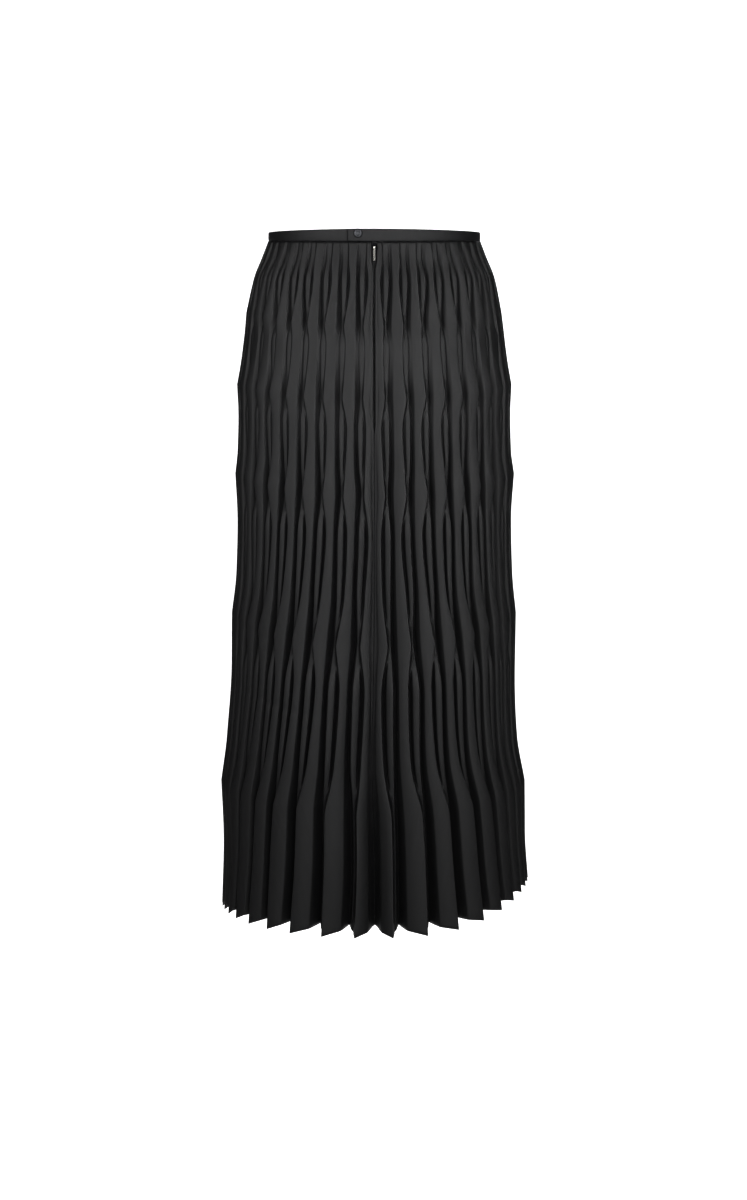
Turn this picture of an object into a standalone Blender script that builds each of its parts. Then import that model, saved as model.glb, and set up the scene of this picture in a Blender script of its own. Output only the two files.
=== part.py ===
"""Pleated maxi skirt, filled out as if worn.

Metres, +Z up. The origin is the middle of the waist, halfway up the waistband.
The centre back, with the zip, faces -Y. The pleats run in four quarters that
mirror each other: from the centre back or centre front, every ridge points
towards the side seam. Rows of deep single pleats alternate with rows where each
pleat divides into two shallow ones, which gives the cloth its folded waves.
"""
import math
import random
from collections import namedtuple

import bmesh
import bpy
from mathutils import Matrix, Vector

COLLECTION = "pleated_maxi_skirt"

LEFT, RIGHT = -1, 1         # X side of a quarter of the skirt
BACK, FRONT = -1, 1         # Y side of a quarter

# Cloth and sewing
CLOTH = 0.0012              # thickness of the cloth wall
SEAM_GAP = 0.0003           # space between two pieces at a seam
PLEATS = 10                 # deep pleats in each quarter of the skirt
FOLD_SEED = 11              # seed for the small unevenness of the folds
UNEVEN = 0.045              # how far a pleat strays, as a share of its width

# Waistband: a folded strip whose right end laps over its left end
BAND_BACK_HEIGHT = 0.0154   # at the centre back and centre front
BAND_SIDE_HEIGHT = 0.0112   # at the side seams
BAND_BACK_DROP = 0.0006     # how far its middle line sags at the centre back
BAND_THICK = 0.0030
BAND_HALF_WIDTH = 0.1330    # half of its width, to the middle of its thickness
BAND_HALF_DEPTH = 0.0905    # half of its depth, likewise
BAND_EDGE = 0.0008          # rounding of its folded edges
BAND_STEPS = 80             # sections round the whole strip
OVERLAP_END = -0.0325       # X of the end of the overlap
UNDERLAP_END = 0.0050       # X of the end that lies beneath
OVERLAP_RAMP = 0.0300       # length over which the overlap climbs onto the strip

# Snap cap on the overlap
SNAP_X = -0.0195
SNAP_ABOVE_MIDDLE = 0.0022
SNAP_RADIUS = 0.0052
SNAP_RISE = 0.0016
SNAP_DISH = 0.0004          # depth of its hollowed middle
SNAP_RIM = 0.0011           # width of its raised rim
SNAP_SIDES = 24

# Zip in the centre back seam
ZIP_LENGTH = 0.205
COIL_WIDTH = 0.0052
COIL_THICK = 0.0014
SLIDER_DROP = 0.0022        # top of the slider below the band
SLIDER_LENGTH = 0.0085
SLIDER_PLATE = 0.0010       # thickness of its plate
PIN_DROP = 0.0052           # pin below the top of the slider
PIN_OUT = 0.0031            # pin out from the cloth
PIN_RADIUS = 0.0005
LUG_THICK = 0.0008
LUG_LENGTH = 0.0032
LUG_REACH = 0.0041          # how far the two lugs stand out from the cloth
TAB_WIDTH = 0.0024
TAB_GAP = 0.0003            # space between the tab and each lug
TAB_THICK = 0.0008
TAB_LENGTH = 0.0165
TAB_EYE = 0.0014            # outer radius of the eye rolled round the pin
TAB_HOLE = 0.0009           # inner radius of that eye
ROUND_SIDES = 16

# Rows of the folded cloth, from the waist seam down to the hem. Each wave is a row
# of single deep pleats. Under it they divide into two, then close again. Drops are
# below the origin at the side seams, and sag is how much lower the row lies at the
# centre back and front. Half sizes are to the tips of the ridges, and shift moves
# the row sideways. twin is 0 where a pleat is single and 1 where it is divided.
# fan moves the pleats away from the centre (+) or towards it (-), and middle is
# the level of the cloth at the centre back and front, from ridge (1) to valley (0).
Row = namedtuple("Row", "name drop sag half_width half_depth depth twin fan middle shift")
WAIST_SEAM_DROP = BAND_SIDE_HEIGHT / 2 + SEAM_GAP
WAIST_SEAM_SAG = (BAND_BACK_HEIGHT - BAND_SIDE_HEIGHT) / 2 + BAND_BACK_DROP
ROWS = (
    Row("waist seam", WAIST_SEAM_DROP, WAIST_SEAM_SAG, 0.1350, 0.0924, 0.0026, 0.0, 0.000, 1.0, 0.0),
    Row("waist fold", 0.0270, 0.0040, 0.1435, 0.0962, 0.0042, 0.2, -0.010, 1.0, 0.0),
    Row("first divide", 0.0503, 0.0060, 0.1532, 0.1000, 0.0046, 1.0, -0.020, 1.0, 0.0),
    Row("first wave", 0.0945, 0.0175, 0.1632, 0.1060, 0.0085, 0.0, -0.030, 1.0, -0.0005),
    Row("second divide", 0.1223, 0.0175, 0.1664, 0.1090, 0.0050, 1.0, -0.032, 1.0, 0.0),
    Row("second close", 0.1580, 0.0159, 0.1713, 0.1120, 0.0064, 0.7, -0.033, 1.0, 0.0),
    Row("second wave", 0.1861, 0.0146, 0.1765, 0.1145, 0.0095, 0.0, -0.033, 1.0, 0.0),
    Row("third divide", 0.2208, 0.0167, 0.1754, 0.1160, 0.0056, 1.0, -0.033, 1.0, 0.0),
    Row("third close", 0.2698, 0.0155, 0.1768, 0.1175, 0.0072, 0.7, -0.033, 1.0, 0.0),
    Row("third wave", 0.3009, 0.0190, 0.1806, 0.1190, 0.0110, 0.0, -0.033, 1.0, 0.0005),
    Row("fourth divide", 0.3557, 0.0177, 0.1781, 0.1200, 0.0064, 1.0, -0.025, 1.0, 0.0),
    Row("fourth close", 0.4280, 0.0179, 0.1802, 0.1220, 0.0084, 0.7, -0.010, 1.0, 0.0),
    Row("fourth wave", 0.4836, 0.0250, 0.1862, 0.1250, 0.0125, 0.0, 0.015, 1.0, -0.0005),
    Row("fifth divide", 0.5504, 0.0175, 0.1865, 0.1280, 0.0078, 1.0, 0.030, 0.9, -0.0013),
    Row("fifth close", 0.6462, 0.0144, 0.1920, 0.1330, 0.0098, 0.7, 0.055, 0.6, -0.0030),
    Row("fifth wave", 0.7088, 0.0113, 0.2017, 0.1380, 0.0145, 0.0, 0.080, 0.3, -0.0017),
    Row("last fold", 0.7775, 0.0079, 0.2012, 0.1420, 0.0165, 0.0, 0.105, 0.1, 0.0),
    Row("hem", 0.8872, -0.0075, 0.2051, 0.1460, 0.0190, 0.0, 0.130, 0.0, 0.0008),
)
HEM = ROWS[-1]
HEM_RIDGE_DROP = 0.0110     # ridges hang lower than valleys at the hem
HEM_LIFT = {LEFT: 0.0090, RIGHT: 0.0440}    # how much higher the hem hangs at each side
HEM_LIFT_POWER = 3          # how closely that lift keeps to the side

# The four folds of one pleat. across is the place within the pleat, from one
# deep valley (0) to the next (1), and level is 0 in the valley and 1 on the
# ridge, both for single and for divided rows.
Fold = namedtuple("Fold", "name across_single level_single across_twin level_twin")
RIDGE = Fold("ridge", 0.60, 1.00, 0.34, 1.00)
SLIT = Fold("slit", 0.68, 0.54, 0.55, 0.20)
STEP = Fold("step", 0.84, 0.40, 0.80, 0.92)
VALLEY = Fold("valley", 1.00, 0.00, 1.00, 0.00)
FOLDS = (RIDGE, SLIT, STEP, VALLEY)
FIRST_VALLEY = -0.10        # where the valley before the first ridge would lie
PLEAT_SPAN = PLEATS - 1 + VALLEY.across_single + FIRST_VALLEY
MITRE_LIMIT = 0.42          # stops the inner corner of a sharp fold running on

# Colours are linear red, green and blue
Finish = namedtuple("Finish", "name colour metallic roughness")
SATIN = Finish("black pleated satin", (0.030, 0.030, 0.032), 0.0, 0.42)
BAND_SATIN = Finish("black satin band", (0.034, 0.034, 0.037), 0.0, 0.48)
GUNMETAL = Finish("gunmetal snap", (0.110, 0.112, 0.115), 1.0, 0.35)
COIL = Finish("black zip coil", (0.016, 0.016, 0.017), 0.0, 0.60)
NICKEL = Finish("bright nickel", (0.620, 0.620, 0.600), 1.0, 0.25)

Corner = namedtuple("Corner", "point level")


def material(finish):
    """Make a plain material with the finish's colour, metallic and roughness."""
    made = bpy.data.materials.new(finish.name)
    made.use_nodes = True
    shader = made.node_tree.nodes["Principled BSDF"]
    shader.inputs["Base Color"].default_value = (*finish.colour, 1.0)
    shader.inputs["Metallic"].default_value = finish.metallic
    shader.inputs["Roughness"].default_value = finish.roughness
    made.diffuse_color = (*finish.colour, 1.0)
    return made


def blend(low, high, share):
    """Return the value a share of the way from low to high."""
    return low + (high - low) * share


def mesh_object(name, shape, finish, collection):
    """Turn a bmesh into a named object with its own material."""
    bmesh.ops.recalc_face_normals(shape, faces=shape.faces[:])
    mesh = bpy.data.meshes.new(name)
    shape.to_mesh(mesh)
    shape.free()
    made = bpy.data.objects.new(name, mesh)
    mesh.materials.append(material(finish))
    collection.objects.link(made)
    return made


def loft(shape, sections, closed):
    """Skin a list of sections, each a list of points, with triangles.

    closed says that each section is a ring, and then both ends are capped.
    """
    rings = [[shape.verts.new(point) for point in section] for section in sections]
    count = len(rings[0])
    last = count if closed else count - 1
    for upper, lower in zip(rings, rings[1:]):
        for index in range(last):
            after = (index + 1) % count
            shape.faces.new((upper[index], upper[after], lower[after]))
            shape.faces.new((upper[index], lower[after], lower[index]))
    if closed:
        for ring in (rings[0], rings[-1]):
            shape.faces.new(ring)
    return rings


# Pleated panels

def oval_point(row, angle):
    """Point on a row's oval, as (towards the side, towards the back or front)."""
    return Vector((row.half_width * math.sin(angle), row.half_depth * math.cos(angle)))


def oval_normal(row, angle):
    """Outward direction of a row's oval."""
    return Vector((row.half_depth * math.sin(angle), row.half_width * math.cos(angle))).normalized()


def quarter_angle(row, share):
    """Angle from the centre of a place that is a share of the quarter along."""
    return math.radians(90.0) * (share + row.fan * math.sin(math.pi * share))


def pleat_depth(row, share):
    """Depth of the pleats at a place: they are shallower where they crowd."""
    return row.depth * (1.0 + row.fan * math.pi * math.cos(math.pi * share))


def fold_corners(row, strays):
    """Outer corners of a quarter in one row, from its centre to its side seam."""
    places = [(0.0, row.middle)]
    for pleat, stray in enumerate(strays):
        for fold in FOLDS:
            across = blend(fold.across_single, fold.across_twin, row.twin)
            level = blend(fold.level_single, fold.level_twin, row.twin)
            places.append(((pleat + FIRST_VALLEY + across + stray) / PLEAT_SPAN, level))
    places[-1] = (1.0, places[-1][1])
    corners = []
    for share, level in places:
        angle = quarter_angle(row, share)
        inward = pleat_depth(row, share) * (1.0 - level)
        corners.append(Corner(oval_point(row, angle) - oval_normal(row, angle) * inward, level))
    return corners


def inner_point(before, here, after):
    """Move a corner inwards by the thickness of the cloth, mitred."""
    normals = []
    for start, end in ((before, here), (here, after)):
        along = (end - start).normalized()
        normals.append(Vector((along.y, -along.x)))
    middle = (normals[0] + normals[1]).normalized()
    return here + middle * (CLOTH / max(middle.dot(normals[0]), MITRE_LIMIT))


def quarter_rows(side, end, centre_seam):
    """Outer and inner points of every row of a quarter, from centre to side.

    side and end say which quarter it is. centre_seam leaves half of the seam's
    gap at the centre, as there always is at the side.
    """
    chance = random.Random(FOLD_SEED + 2 * side + end)
    mirror_x = Matrix(((-1.0, 0.0), (0.0, 1.0)))
    mirror_y = Matrix(((1.0, 0.0), (0.0, -1.0)))
    rows = []
    for row in ROWS:
        strays = [chance.uniform(-UNEVEN, UNEVEN) for _ in range(PLEATS)]
        corners = fold_corners(row, strays)
        flat = [corner.point for corner in corners]
        around = [mirror_x @ flat[1]] + flat + [mirror_y @ flat[-2]]
        inner = [inner_point(*around[index:index + 3]) for index in range(len(flat))]
        for points in (flat, inner):
            points[0].x = SEAM_GAP / 2 if centre_seam else 0.0
            points[-1].y = SEAM_GAP / 2
        heights = [row_height(row, corner, side) for corner in corners]
        rows.append([
            [Vector((side * point.x + row.shift, end * point.y, height))
             for point, height in zip(points, heights)]
            for points in (flat, inner)])
    return rows


def row_height(row, corner, side):
    """Height of a corner: most rows hang lower at the centre than at the sides."""
    height = -row.drop - row.sag * (corner.point.y / row.half_depth) ** 2
    if row is HEM:
        height += HEM_RIDGE_DROP * (1.0 - corner.level)
        height += HEM_LIFT[side] * (corner.point.x / row.half_width) ** HEM_LIFT_POWER
    return height


def panel(name, quarters, collection):
    """Build one pleated panel from one quarter, or from two that share a centre."""
    rows = quarter_rows(*quarters[0], centre_seam=len(quarters) == 1)
    if len(quarters) == 2:
        others = quarter_rows(*quarters[1], centre_seam=False)
        rows = [[other[:0:-1] + mine for other, mine in zip(pair, row)]
                for pair, row in zip(others, rows)]
    shape = bmesh.new()
    rings = [outer + inner[::-1] for outer, inner in rows]
    count = len(rows[0][0])
    grid = loft_wall(shape, rings, count)
    for ring in (grid[0], grid[-1]):
        for index in range(count - 1):
            opposite = len(ring) - 1 - index
            shape.faces.new((ring[index], ring[index + 1], ring[opposite - 1]))
            shape.faces.new((ring[index], ring[opposite - 1], ring[opposite]))
    return mesh_object(name, shape, SATIN, collection)


def loft_wall(shape, rings, count):
    """Skin the closed outline of a wall, its diagonals alike on both faces."""
    grid = [[shape.verts.new(point) for point in ring] for ring in rings]
    size = len(rings[0])
    for upper, lower in zip(grid, grid[1:]):
        for index in range(size):
            after = (index + 1) % size
            first, second = (index, after) if index < count else (after, index)
            shape.faces.new((upper[first], upper[second], lower[second]))
            shape.faces.new((upper[first], lower[second], lower[first]))
    return grid


def centre_back(height):
    """Place of the cloth's outer face at the centre back, and its slope there.

    Returns the distance behind the origin and how far the cloth leans out going
    down, as an angle.
    """
    for upper, lower in zip(ROWS, ROWS[1:]):
        top = -upper.drop - upper.sag
        bottom = -lower.drop - lower.sag
        if height >= bottom:
            break
    share = (top - height) / (top - bottom)
    out = blend(upper.half_depth, lower.half_depth, share)
    return out, math.atan2(lower.half_depth - upper.half_depth, top - bottom)


# Waistband and snap

def band_angle(x):
    """Angle round the band, from the centre back, of a place on its back half."""
    return math.asin(x / BAND_HALF_WIDTH)


def band_frame(angle):
    """Place on the band's middle line, its outward direction and its height."""
    place = Vector((BAND_HALF_WIDTH * math.sin(angle), -BAND_HALF_DEPTH * math.cos(angle), 0.0))
    outward = Vector((BAND_HALF_DEPTH * math.sin(angle), -BAND_HALF_WIDTH * math.cos(angle), 0.0))
    outward.normalize()
    centred = math.cos(angle) ** 2
    place.z = -BAND_BACK_DROP * centred
    return place, outward, blend(BAND_SIDE_HEIGHT, BAND_BACK_HEIGHT, centred)


def band_lift(angle):
    """How far the strip stands out to lap over its other end."""
    start = band_angle(UNDERLAP_END + 2 * SEAM_GAP)
    share = (angle - start) / (OVERLAP_RAMP / BAND_HALF_WIDTH)
    share = min(max(share, 0.0), 1.0)
    return (BAND_THICK + SEAM_GAP) * (1.0 - share * share * (3.0 - 2.0 * share))


def waistband(collection):
    """Build the strip from the end of its overlap all round to its other end."""
    start = band_angle(OVERLAP_END)
    end = math.radians(360.0) + band_angle(UNDERLAP_END)
    half, edge = BAND_THICK / 2, BAND_EDGE
    sections = []
    for step in range(BAND_STEPS + 1):
        angle = blend(start, end, step / BAND_STEPS)
        place, outward, height = band_frame(angle)
        place = place + outward * band_lift(angle)
        top = height / 2
        profile = (
            (half, top - edge), (half - edge, top), (edge - half, top), (-half, top - edge),
            (-half, edge - top), (edge - half, -top), (half - edge, -top), (half, edge - top))
        sections.append([place + outward * out + Vector((0.0, 0.0, up)) for out, up in profile])
    shape = bmesh.new()
    loft(shape, sections, closed=True)
    return mesh_object("waistband", shape, BAND_SATIN, collection)


def snap_cap(collection):
    """Turn the round, slightly dished cap and seat it on the overlap."""
    angle = band_angle(SNAP_X)
    place, outward, _ = band_frame(angle)
    place += outward * (BAND_THICK / 2 + band_lift(angle) + SEAM_GAP)
    place.z += SNAP_ABOVE_MIDDLE
    profile = (
        (0.0, SNAP_RISE - SNAP_DISH),
        (SNAP_RADIUS - 2.0 * SNAP_RIM, SNAP_RISE - SNAP_DISH),
        (SNAP_RADIUS - SNAP_RIM, SNAP_RISE),
        (SNAP_RADIUS - SNAP_RIM / 3, SNAP_RISE * 0.8),
        (SNAP_RADIUS, SNAP_RISE * 0.4),
        (SNAP_RADIUS, 0.0),
        (0.0, 0.0))
    shape = bmesh.new()
    corners = [shape.verts.new((out, 0.0, up)) for out, up in profile]
    for first, second in zip(corners, corners[1:]):
        shape.edges.new((first, second))
    cap = mesh_object("snap_cap", shape, GUNMETAL, collection)
    turned = cap.modifiers.new("Turn", "SCREW")
    turned.steps = turned.render_steps = SNAP_SIDES
    turned.use_merge_vertices = True
    turned.merge_threshold = 0.00001
    cap.matrix_world = Matrix.Translation(place) @ outward.to_track_quat("Z", "Y").to_matrix().to_4x4()
    return cap


# Zip

def zip_coil(collection):
    """Build the closed coil that lies behind the centre back seam."""
    top = -WAIST_SEAM_DROP - WAIST_SEAM_SAG
    bottom = top - ZIP_LENGTH
    heights = [top - SEAM_GAP]
    heights += [-row.drop - row.sag for row in ROWS[1:] if -row.drop - row.sag > bottom]
    heights.append(bottom)
    sections = []
    for height in heights:
        out = centre_back(height)[0] - CLOTH - 2 * SEAM_GAP
        half = COIL_WIDTH / 2
        sections.append([
            Vector((half, -out, height)), Vector((-half, -out, height)),
            Vector((-half, COIL_THICK - out, height)), Vector((half, COIL_THICK - out, height))])
    shape = bmesh.new()
    loft(shape, sections, closed=True)
    return mesh_object("zip_coil", shape, COIL, collection)


def pin_frame():
    """Matrix of the pull tab's pin: local Y is out from the cloth, Z is up it."""
    band_bottom = -BAND_BACK_HEIGHT / 2 - BAND_BACK_DROP
    height = band_bottom - SLIDER_DROP - PIN_DROP
    out, lean = centre_back(height)
    surface = Matrix.Translation((0.0, -out, height))
    turned = Matrix.Rotation(math.pi, 4, "Z") @ Matrix.Rotation(lean, 4, "X")
    return surface @ turned @ Matrix.Translation((0.0, PIN_OUT, 0.0))


def block(name, low, high, frame, finish, collection):
    """Build a box between two corners given in a local frame."""
    shape = bmesh.new()
    bmesh.ops.create_cube(shape, size=1.0)
    size = Vector(high) - Vector(low)
    bmesh.ops.scale(shape, vec=size, verts=shape.verts[:])
    bmesh.ops.translate(shape, vec=(Vector(high) + Vector(low)) / 2, verts=shape.verts[:])
    made = mesh_object(name, shape, finish, collection)
    made.matrix_world = frame
    return made


def join(base, other):
    """Add a helper solid to a piece by Boolean union."""
    other.hide_render = True
    other.display_type = "WIRE"
    union = base.modifiers.new("Join " + other.name, "BOOLEAN")
    union.operation = "UNION"
    union.solver = "EXACT"
    union.object = other


def zip_slider(collection, helpers):
    """Build the slider: a plate on the seam, two lugs and the pin between them."""
    frame = pin_frame()
    inside = TAB_WIDTH / 2 + TAB_GAP
    outside = inside + LUG_THICK
    seat = SEAM_GAP - PIN_OUT
    top = PIN_DROP
    plate = block("zip_slider", (-outside, seat, top - SLIDER_LENGTH), (outside, seat + SLIDER_PLATE, top),
                  frame, NICKEL, collection)
    for side in (LEFT, RIGHT):
        near, far = sorted((side * inside, side * outside))
        lug = block(f"slider_lug_{side + 1}", (near, seat + SLIDER_PLATE / 2, -LUG_LENGTH / 2),
                    (far, LUG_REACH - PIN_OUT, LUG_LENGTH / 2), frame, NICKEL, helpers)
        join(plate, lug)
    shape = bmesh.new()
    bmesh.ops.create_cone(shape, cap_ends=True, segments=ROUND_SIDES, radius1=PIN_RADIUS,
                          radius2=PIN_RADIUS, depth=2 * inside + LUG_THICK,
                          matrix=Matrix.Rotation(math.pi / 2, 4, "Y"))
    pin = mesh_object("slider_pin", shape, NICKEL, helpers)
    pin.matrix_world = frame
    join(plate, pin)
    return plate


def pull_tab(collection):
    """Build the tab: a strip rolled into an eye round the pin, hanging down."""
    outline = bpy.data.curves.new("pull_tab", "CURVE")
    outline.dimensions = "2D"
    outline.fill_mode = "BOTH"
    outline.extrude = TAB_WIDTH / 2
    back = -TAB_EYE
    face = back + TAB_THICK
    meet = math.acos(face / TAB_EYE)
    turns = [blend(-meet, math.pi, step / ROUND_SIDES) for step in range(ROUND_SIDES + 1)]
    eye = [(TAB_EYE * math.cos(turn), TAB_EYE * math.sin(turn)) for turn in turns]
    tip = TAB_THICK / 4
    tail = [(back, -TAB_LENGTH + tip), (back + tip, -TAB_LENGTH), (face - tip, -TAB_LENGTH),
            (face, -TAB_LENGTH + tip)]
    hole = [(TAB_HOLE * math.cos(turn), TAB_HOLE * math.sin(turn))
            for turn in (math.tau * step / ROUND_SIDES for step in range(ROUND_SIDES))]
    for points in (eye + tail, hole):
        spline = outline.splines.new("POLY")
        spline.points.add(len(points) - 1)
        for target, (out, up) in zip(spline.points, points):
            target.co = (out, up, 0.0, 1.0)
        spline.use_cyclic_u = True
    outline.materials.append(material(NICKEL))
    tab = bpy.data.objects.new("pull_tab", outline)
    collection.objects.link(tab)
    weld = tab.modifiers.new("Close", "WELD")
    weld.merge_threshold = 0.00001
    across = Matrix(((0.0, 0.0, 1.0, 0.0), (1.0, 0.0, 0.0, 0.0), (0.0, 1.0, 0.0, 0.0), (0.0, 0.0, 0.0, 1.0)))
    tab.matrix_world = pin_frame() @ across
    return tab


def main():
    """Remove what the scene holds and build every piece of the skirt."""
    for item in list(bpy.data.objects):
        bpy.data.objects.remove(item, do_unlink=True)
    pieces = bpy.data.collections.new(COLLECTION)
    helpers = bpy.data.collections.new("helpers")
    for collection in (pieces, helpers):
        bpy.context.scene.collection.children.link(collection)
    panel("back_left_panel", [(LEFT, BACK)], pieces)
    panel("back_right_panel", [(RIGHT, BACK)], pieces)
    panel("front_panel", [(LEFT, FRONT), (RIGHT, FRONT)], pieces)
    waistband(pieces)
    snap_cap(pieces)
    zip_coil(pieces)
    zip_slider(pieces, helpers)
    pull_tab(pieces)


main()
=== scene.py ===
"""Pleated maxi skirt in black satin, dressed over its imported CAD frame.

Metres, +Z up, the origin in the middle of the waist. The centre back, with the zip,
faces -Y. Every cloth piece repeats the rows and folds of the CAD source in finer form,
with crisp flat faces, rounded creases and a thin shell of cloth.
"""
from __future__ import annotations

import logging
import math
import random
from dataclasses import dataclass, field
from enum import Enum
from typing import Any, Mapping, Sequence
import bpy
import numpy as np
from mathutils import Matrix, Vector


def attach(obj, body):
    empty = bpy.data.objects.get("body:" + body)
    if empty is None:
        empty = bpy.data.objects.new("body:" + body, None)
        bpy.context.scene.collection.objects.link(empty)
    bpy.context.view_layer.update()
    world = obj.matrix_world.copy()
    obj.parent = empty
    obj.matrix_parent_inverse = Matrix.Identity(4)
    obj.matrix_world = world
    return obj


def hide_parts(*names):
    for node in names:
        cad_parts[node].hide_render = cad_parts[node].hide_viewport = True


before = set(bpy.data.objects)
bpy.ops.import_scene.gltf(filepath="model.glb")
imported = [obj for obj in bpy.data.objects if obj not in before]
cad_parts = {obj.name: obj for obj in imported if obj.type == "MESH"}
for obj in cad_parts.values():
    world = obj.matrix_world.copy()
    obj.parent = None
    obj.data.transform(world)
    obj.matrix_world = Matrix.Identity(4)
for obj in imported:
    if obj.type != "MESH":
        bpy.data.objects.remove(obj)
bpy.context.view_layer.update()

LOG = logging.getLogger("pleated_skirt")

MM = 0.001
TINY = 1e-12                        # keeps a division by a length safe


class Side(Enum):
    """X side of a quarter of the skirt."""

    LEFT = -1
    RIGHT = 1


class End(Enum):
    """Y side of a quarter of the skirt."""

    BACK = -1
    FRONT = 1


class Body(Enum):
    """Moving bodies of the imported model."""

    SKIRT = "skirt"
    PULL_TAB = "pull_tab"


class Seam(Enum):
    """Kinds of seam between the quarters; each knows the axes across it and inward."""

    CENTRE = (0, 1)
    SIDE = (1, 0)


# Colour and nodes


def linear(code: str) -> tuple[float, float, float, float]:
    """Turn an sRGB hex colour into linear red, green, blue and alpha.

    Args:
        code: Colour as "#rrggbb".

    Returns:
        Linear components, alpha 1.
    """
    parts = [int(code[start:start + 2], 16) / 255 for start in (1, 3, 5)]
    turned = [part / 12.92 if part <= 0.04045 else ((part + 0.055) / 1.055) ** 2.4 for part in parts]
    return turned[0], turned[1], turned[2], 1.0


def feed(tree: bpy.types.NodeTree, node: bpy.types.Node, feeds: Mapping[Any, Any]) -> None:
    """Set a node's inputs or link them to what feeds them.

    Args:
        tree: Node tree of the node.
        node: Node whose inputs are fed.
        feeds: Input name or number to a value, or to the output socket that feeds it.
    """
    for name, value in feeds.items():
        if isinstance(value, bpy.types.NodeSocket):
            tree.links.new(value, node.inputs[name])
        else:
            node.inputs[name].default_value = value


def add_node(tree: bpy.types.NodeTree, kind: str, feeds: Mapping[Any, Any] | None = None,
             **settings: Any) -> bpy.types.Node:
    """Add one node with its settings and what feeds its inputs.

    Args:
        tree: Node tree that gets the node.
        kind: Blender's name for the node type.
        feeds: What feeds its inputs, as for the function above.
        settings: Attributes to set on the node.

    Returns:
        The new node.
    """
    node = tree.nodes.new(kind)
    for name, value in settings.items():
        setattr(node, name, value)
    feed(tree, node, feeds or {})
    return node


def blend(tree: bpy.types.NodeTree, factor: bpy.types.NodeSocket, first: str, second: str
          ) -> bpy.types.NodeSocket:
    """Mix two colours.

    Args:
        tree: Node tree that gets the node.
        factor: Share of the second colour.
        first: Colour as "#rrggbb".
        second: Likewise.

    Returns:
        The mixed colour.
    """
    # Mix keeps one set of sockets for each type, and the colours are the third
    mixed = add_node(tree, "ShaderNodeMix", {"Factor": factor, 6: linear(first), 7: linear(second)},
                     data_type="RGBA")
    return mixed.outputs[2]


def between(tree: bpy.types.NodeTree, share: bpy.types.NodeSocket, low: float, high: float
            ) -> bpy.types.NodeSocket:
    """Turn a share into a number between two limits.

    Args:
        tree: Node tree that gets the node.
        share: Share, from 0 to 1.
        low: Number for a share of 0.
        high: Number for a share of 1.

    Returns:
        The number.
    """
    ranged = add_node(tree, "ShaderNodeMapRange", {"Value": share, "To Min": low, "To Max": high})
    return ranged.outputs["Result"]


def shader_of(name: str) -> tuple[bpy.types.Material, bpy.types.NodeTree, bpy.types.Node]:
    """Make a material with a bare Principled shader.

    Args:
        name: Name of the material.

    Returns:
        The material, its node tree and its shader.
    """
    made = bpy.data.materials.new(name)
    made.use_nodes = True
    return made, made.node_tree, made.node_tree.nodes["Principled BSDF"]


@dataclass(frozen=True)
class WovenSatin:
    """Polyester satin, woven with long floats and then heat-set.

    The floats lie side by side along the cloth, so it has a soft directional gleam on
    faces that look at the light and goes nearly black on faces that turn away. Pressed
    edges are polished, so less rough, and are also painted greyer: a painted highlight,
    a thin line of light along the crests.
    """

    name: str
    colour: str                     # the cloth between its creases
    streak_and_sheen_colour: str                # greyer painted highlight on the pressed crests, and the lighter yarn streaks
    roughness: float
    edge_roughness: float
    ior: float = 1.57               # polyester
    sheen: float = 0.01
    warp_mm: float = 0.60           # real floats are about 0.12 mm apart, too fine to show
    weft_mm: float = 0.90           # likewise, so both are drawn coarser
    streak_mm: float = 7.0          # width of the faint lengthwise streaks of the yarn
    relief_mm: float = 0.02

    def material(self) -> bpy.types.Material:
        """Make the cloth, its threads laid along the UV map in metres.

        Returns:
            Node material of the cloth.
        """
        made, tree, shader = shader_of(self.name)
        shader.inputs["IOR"].default_value = self.ior
        shader.inputs["Sheen Weight"].default_value = self.sheen
        shader.inputs["Sheen Roughness"].default_value = 0.45
        shader.inputs["Sheen Tint"].default_value = linear("#8c8e96")
        place = add_node(tree, "ShaderNodeTexCoord").outputs["UV"]
        # The press value is high only on ridges and steps. There it mixes in a lighter colour, a
        # painted highlight along the crests, besides the lower roughness of the polish
        press = add_node(tree, "ShaderNodeAttribute", attribute_name="press").outputs["Fac"]
        # A band of the wave texture is pi / (10 x scale) wide
        warp, weft = (
            add_node(tree, "ShaderNodeTexWave",
                     {"Vector": place, "Scale": math.pi / (10 * apart * MM),
                      "Distortion": stray, "Detail": 1.0, "Detail Scale": 0.4},
                     bands_direction=axis)
            for axis, apart, stray in (("X", self.warp_mm, 0.6), ("Y", self.weft_mm, 0.8)))
        drawn = add_node(tree, "ShaderNodeMapping",
                         {"Vector": place, "Scale": (1 / (self.streak_mm * MM), 9.0, 1.0)})
        streaks = add_node(tree, "ShaderNodeTexNoise",
                           {"Vector": drawn.outputs["Vector"], "Scale": 1.0, "Detail": 4.0,
                            "Roughness": 0.6})
        threads = add_node(tree, "ShaderNodeMix",
                           {"Factor": 0.35, "A": warp.outputs["Fac"], "B": weft.outputs["Fac"]})
        tone = add_node(tree, "ShaderNodeMapRange",
                        {"Value": streaks.outputs["Fac"], "From Min": 0.3, "From Max": 0.7,
                         "To Min": 0.0, "To Max": 0.35})
        # Painted highlight on the pressed crests, plus the lighter yarn streaks
        grey = add_node(tree, "ShaderNodeMath", {0: press, 1: tone.outputs["Result"]},
                        operation="ADD", use_clamp=True)
        streaks_and_sheen = grey.outputs["Value"]
        bump = add_node(tree, "ShaderNodeBump",
                        {"Height": threads.outputs["Result"], "Distance": self.relief_mm * MM,
                         "Strength": 0.6})
        feed(tree, shader, {
            "Base Color": blend(tree, streaks_and_sheen, self.colour, self.streak_and_sheen_colour),
            "Roughness": between(tree, streaks_and_sheen, self.roughness, self.edge_roughness),
            "Normal": bump.outputs["Normal"]})
        return made


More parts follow.
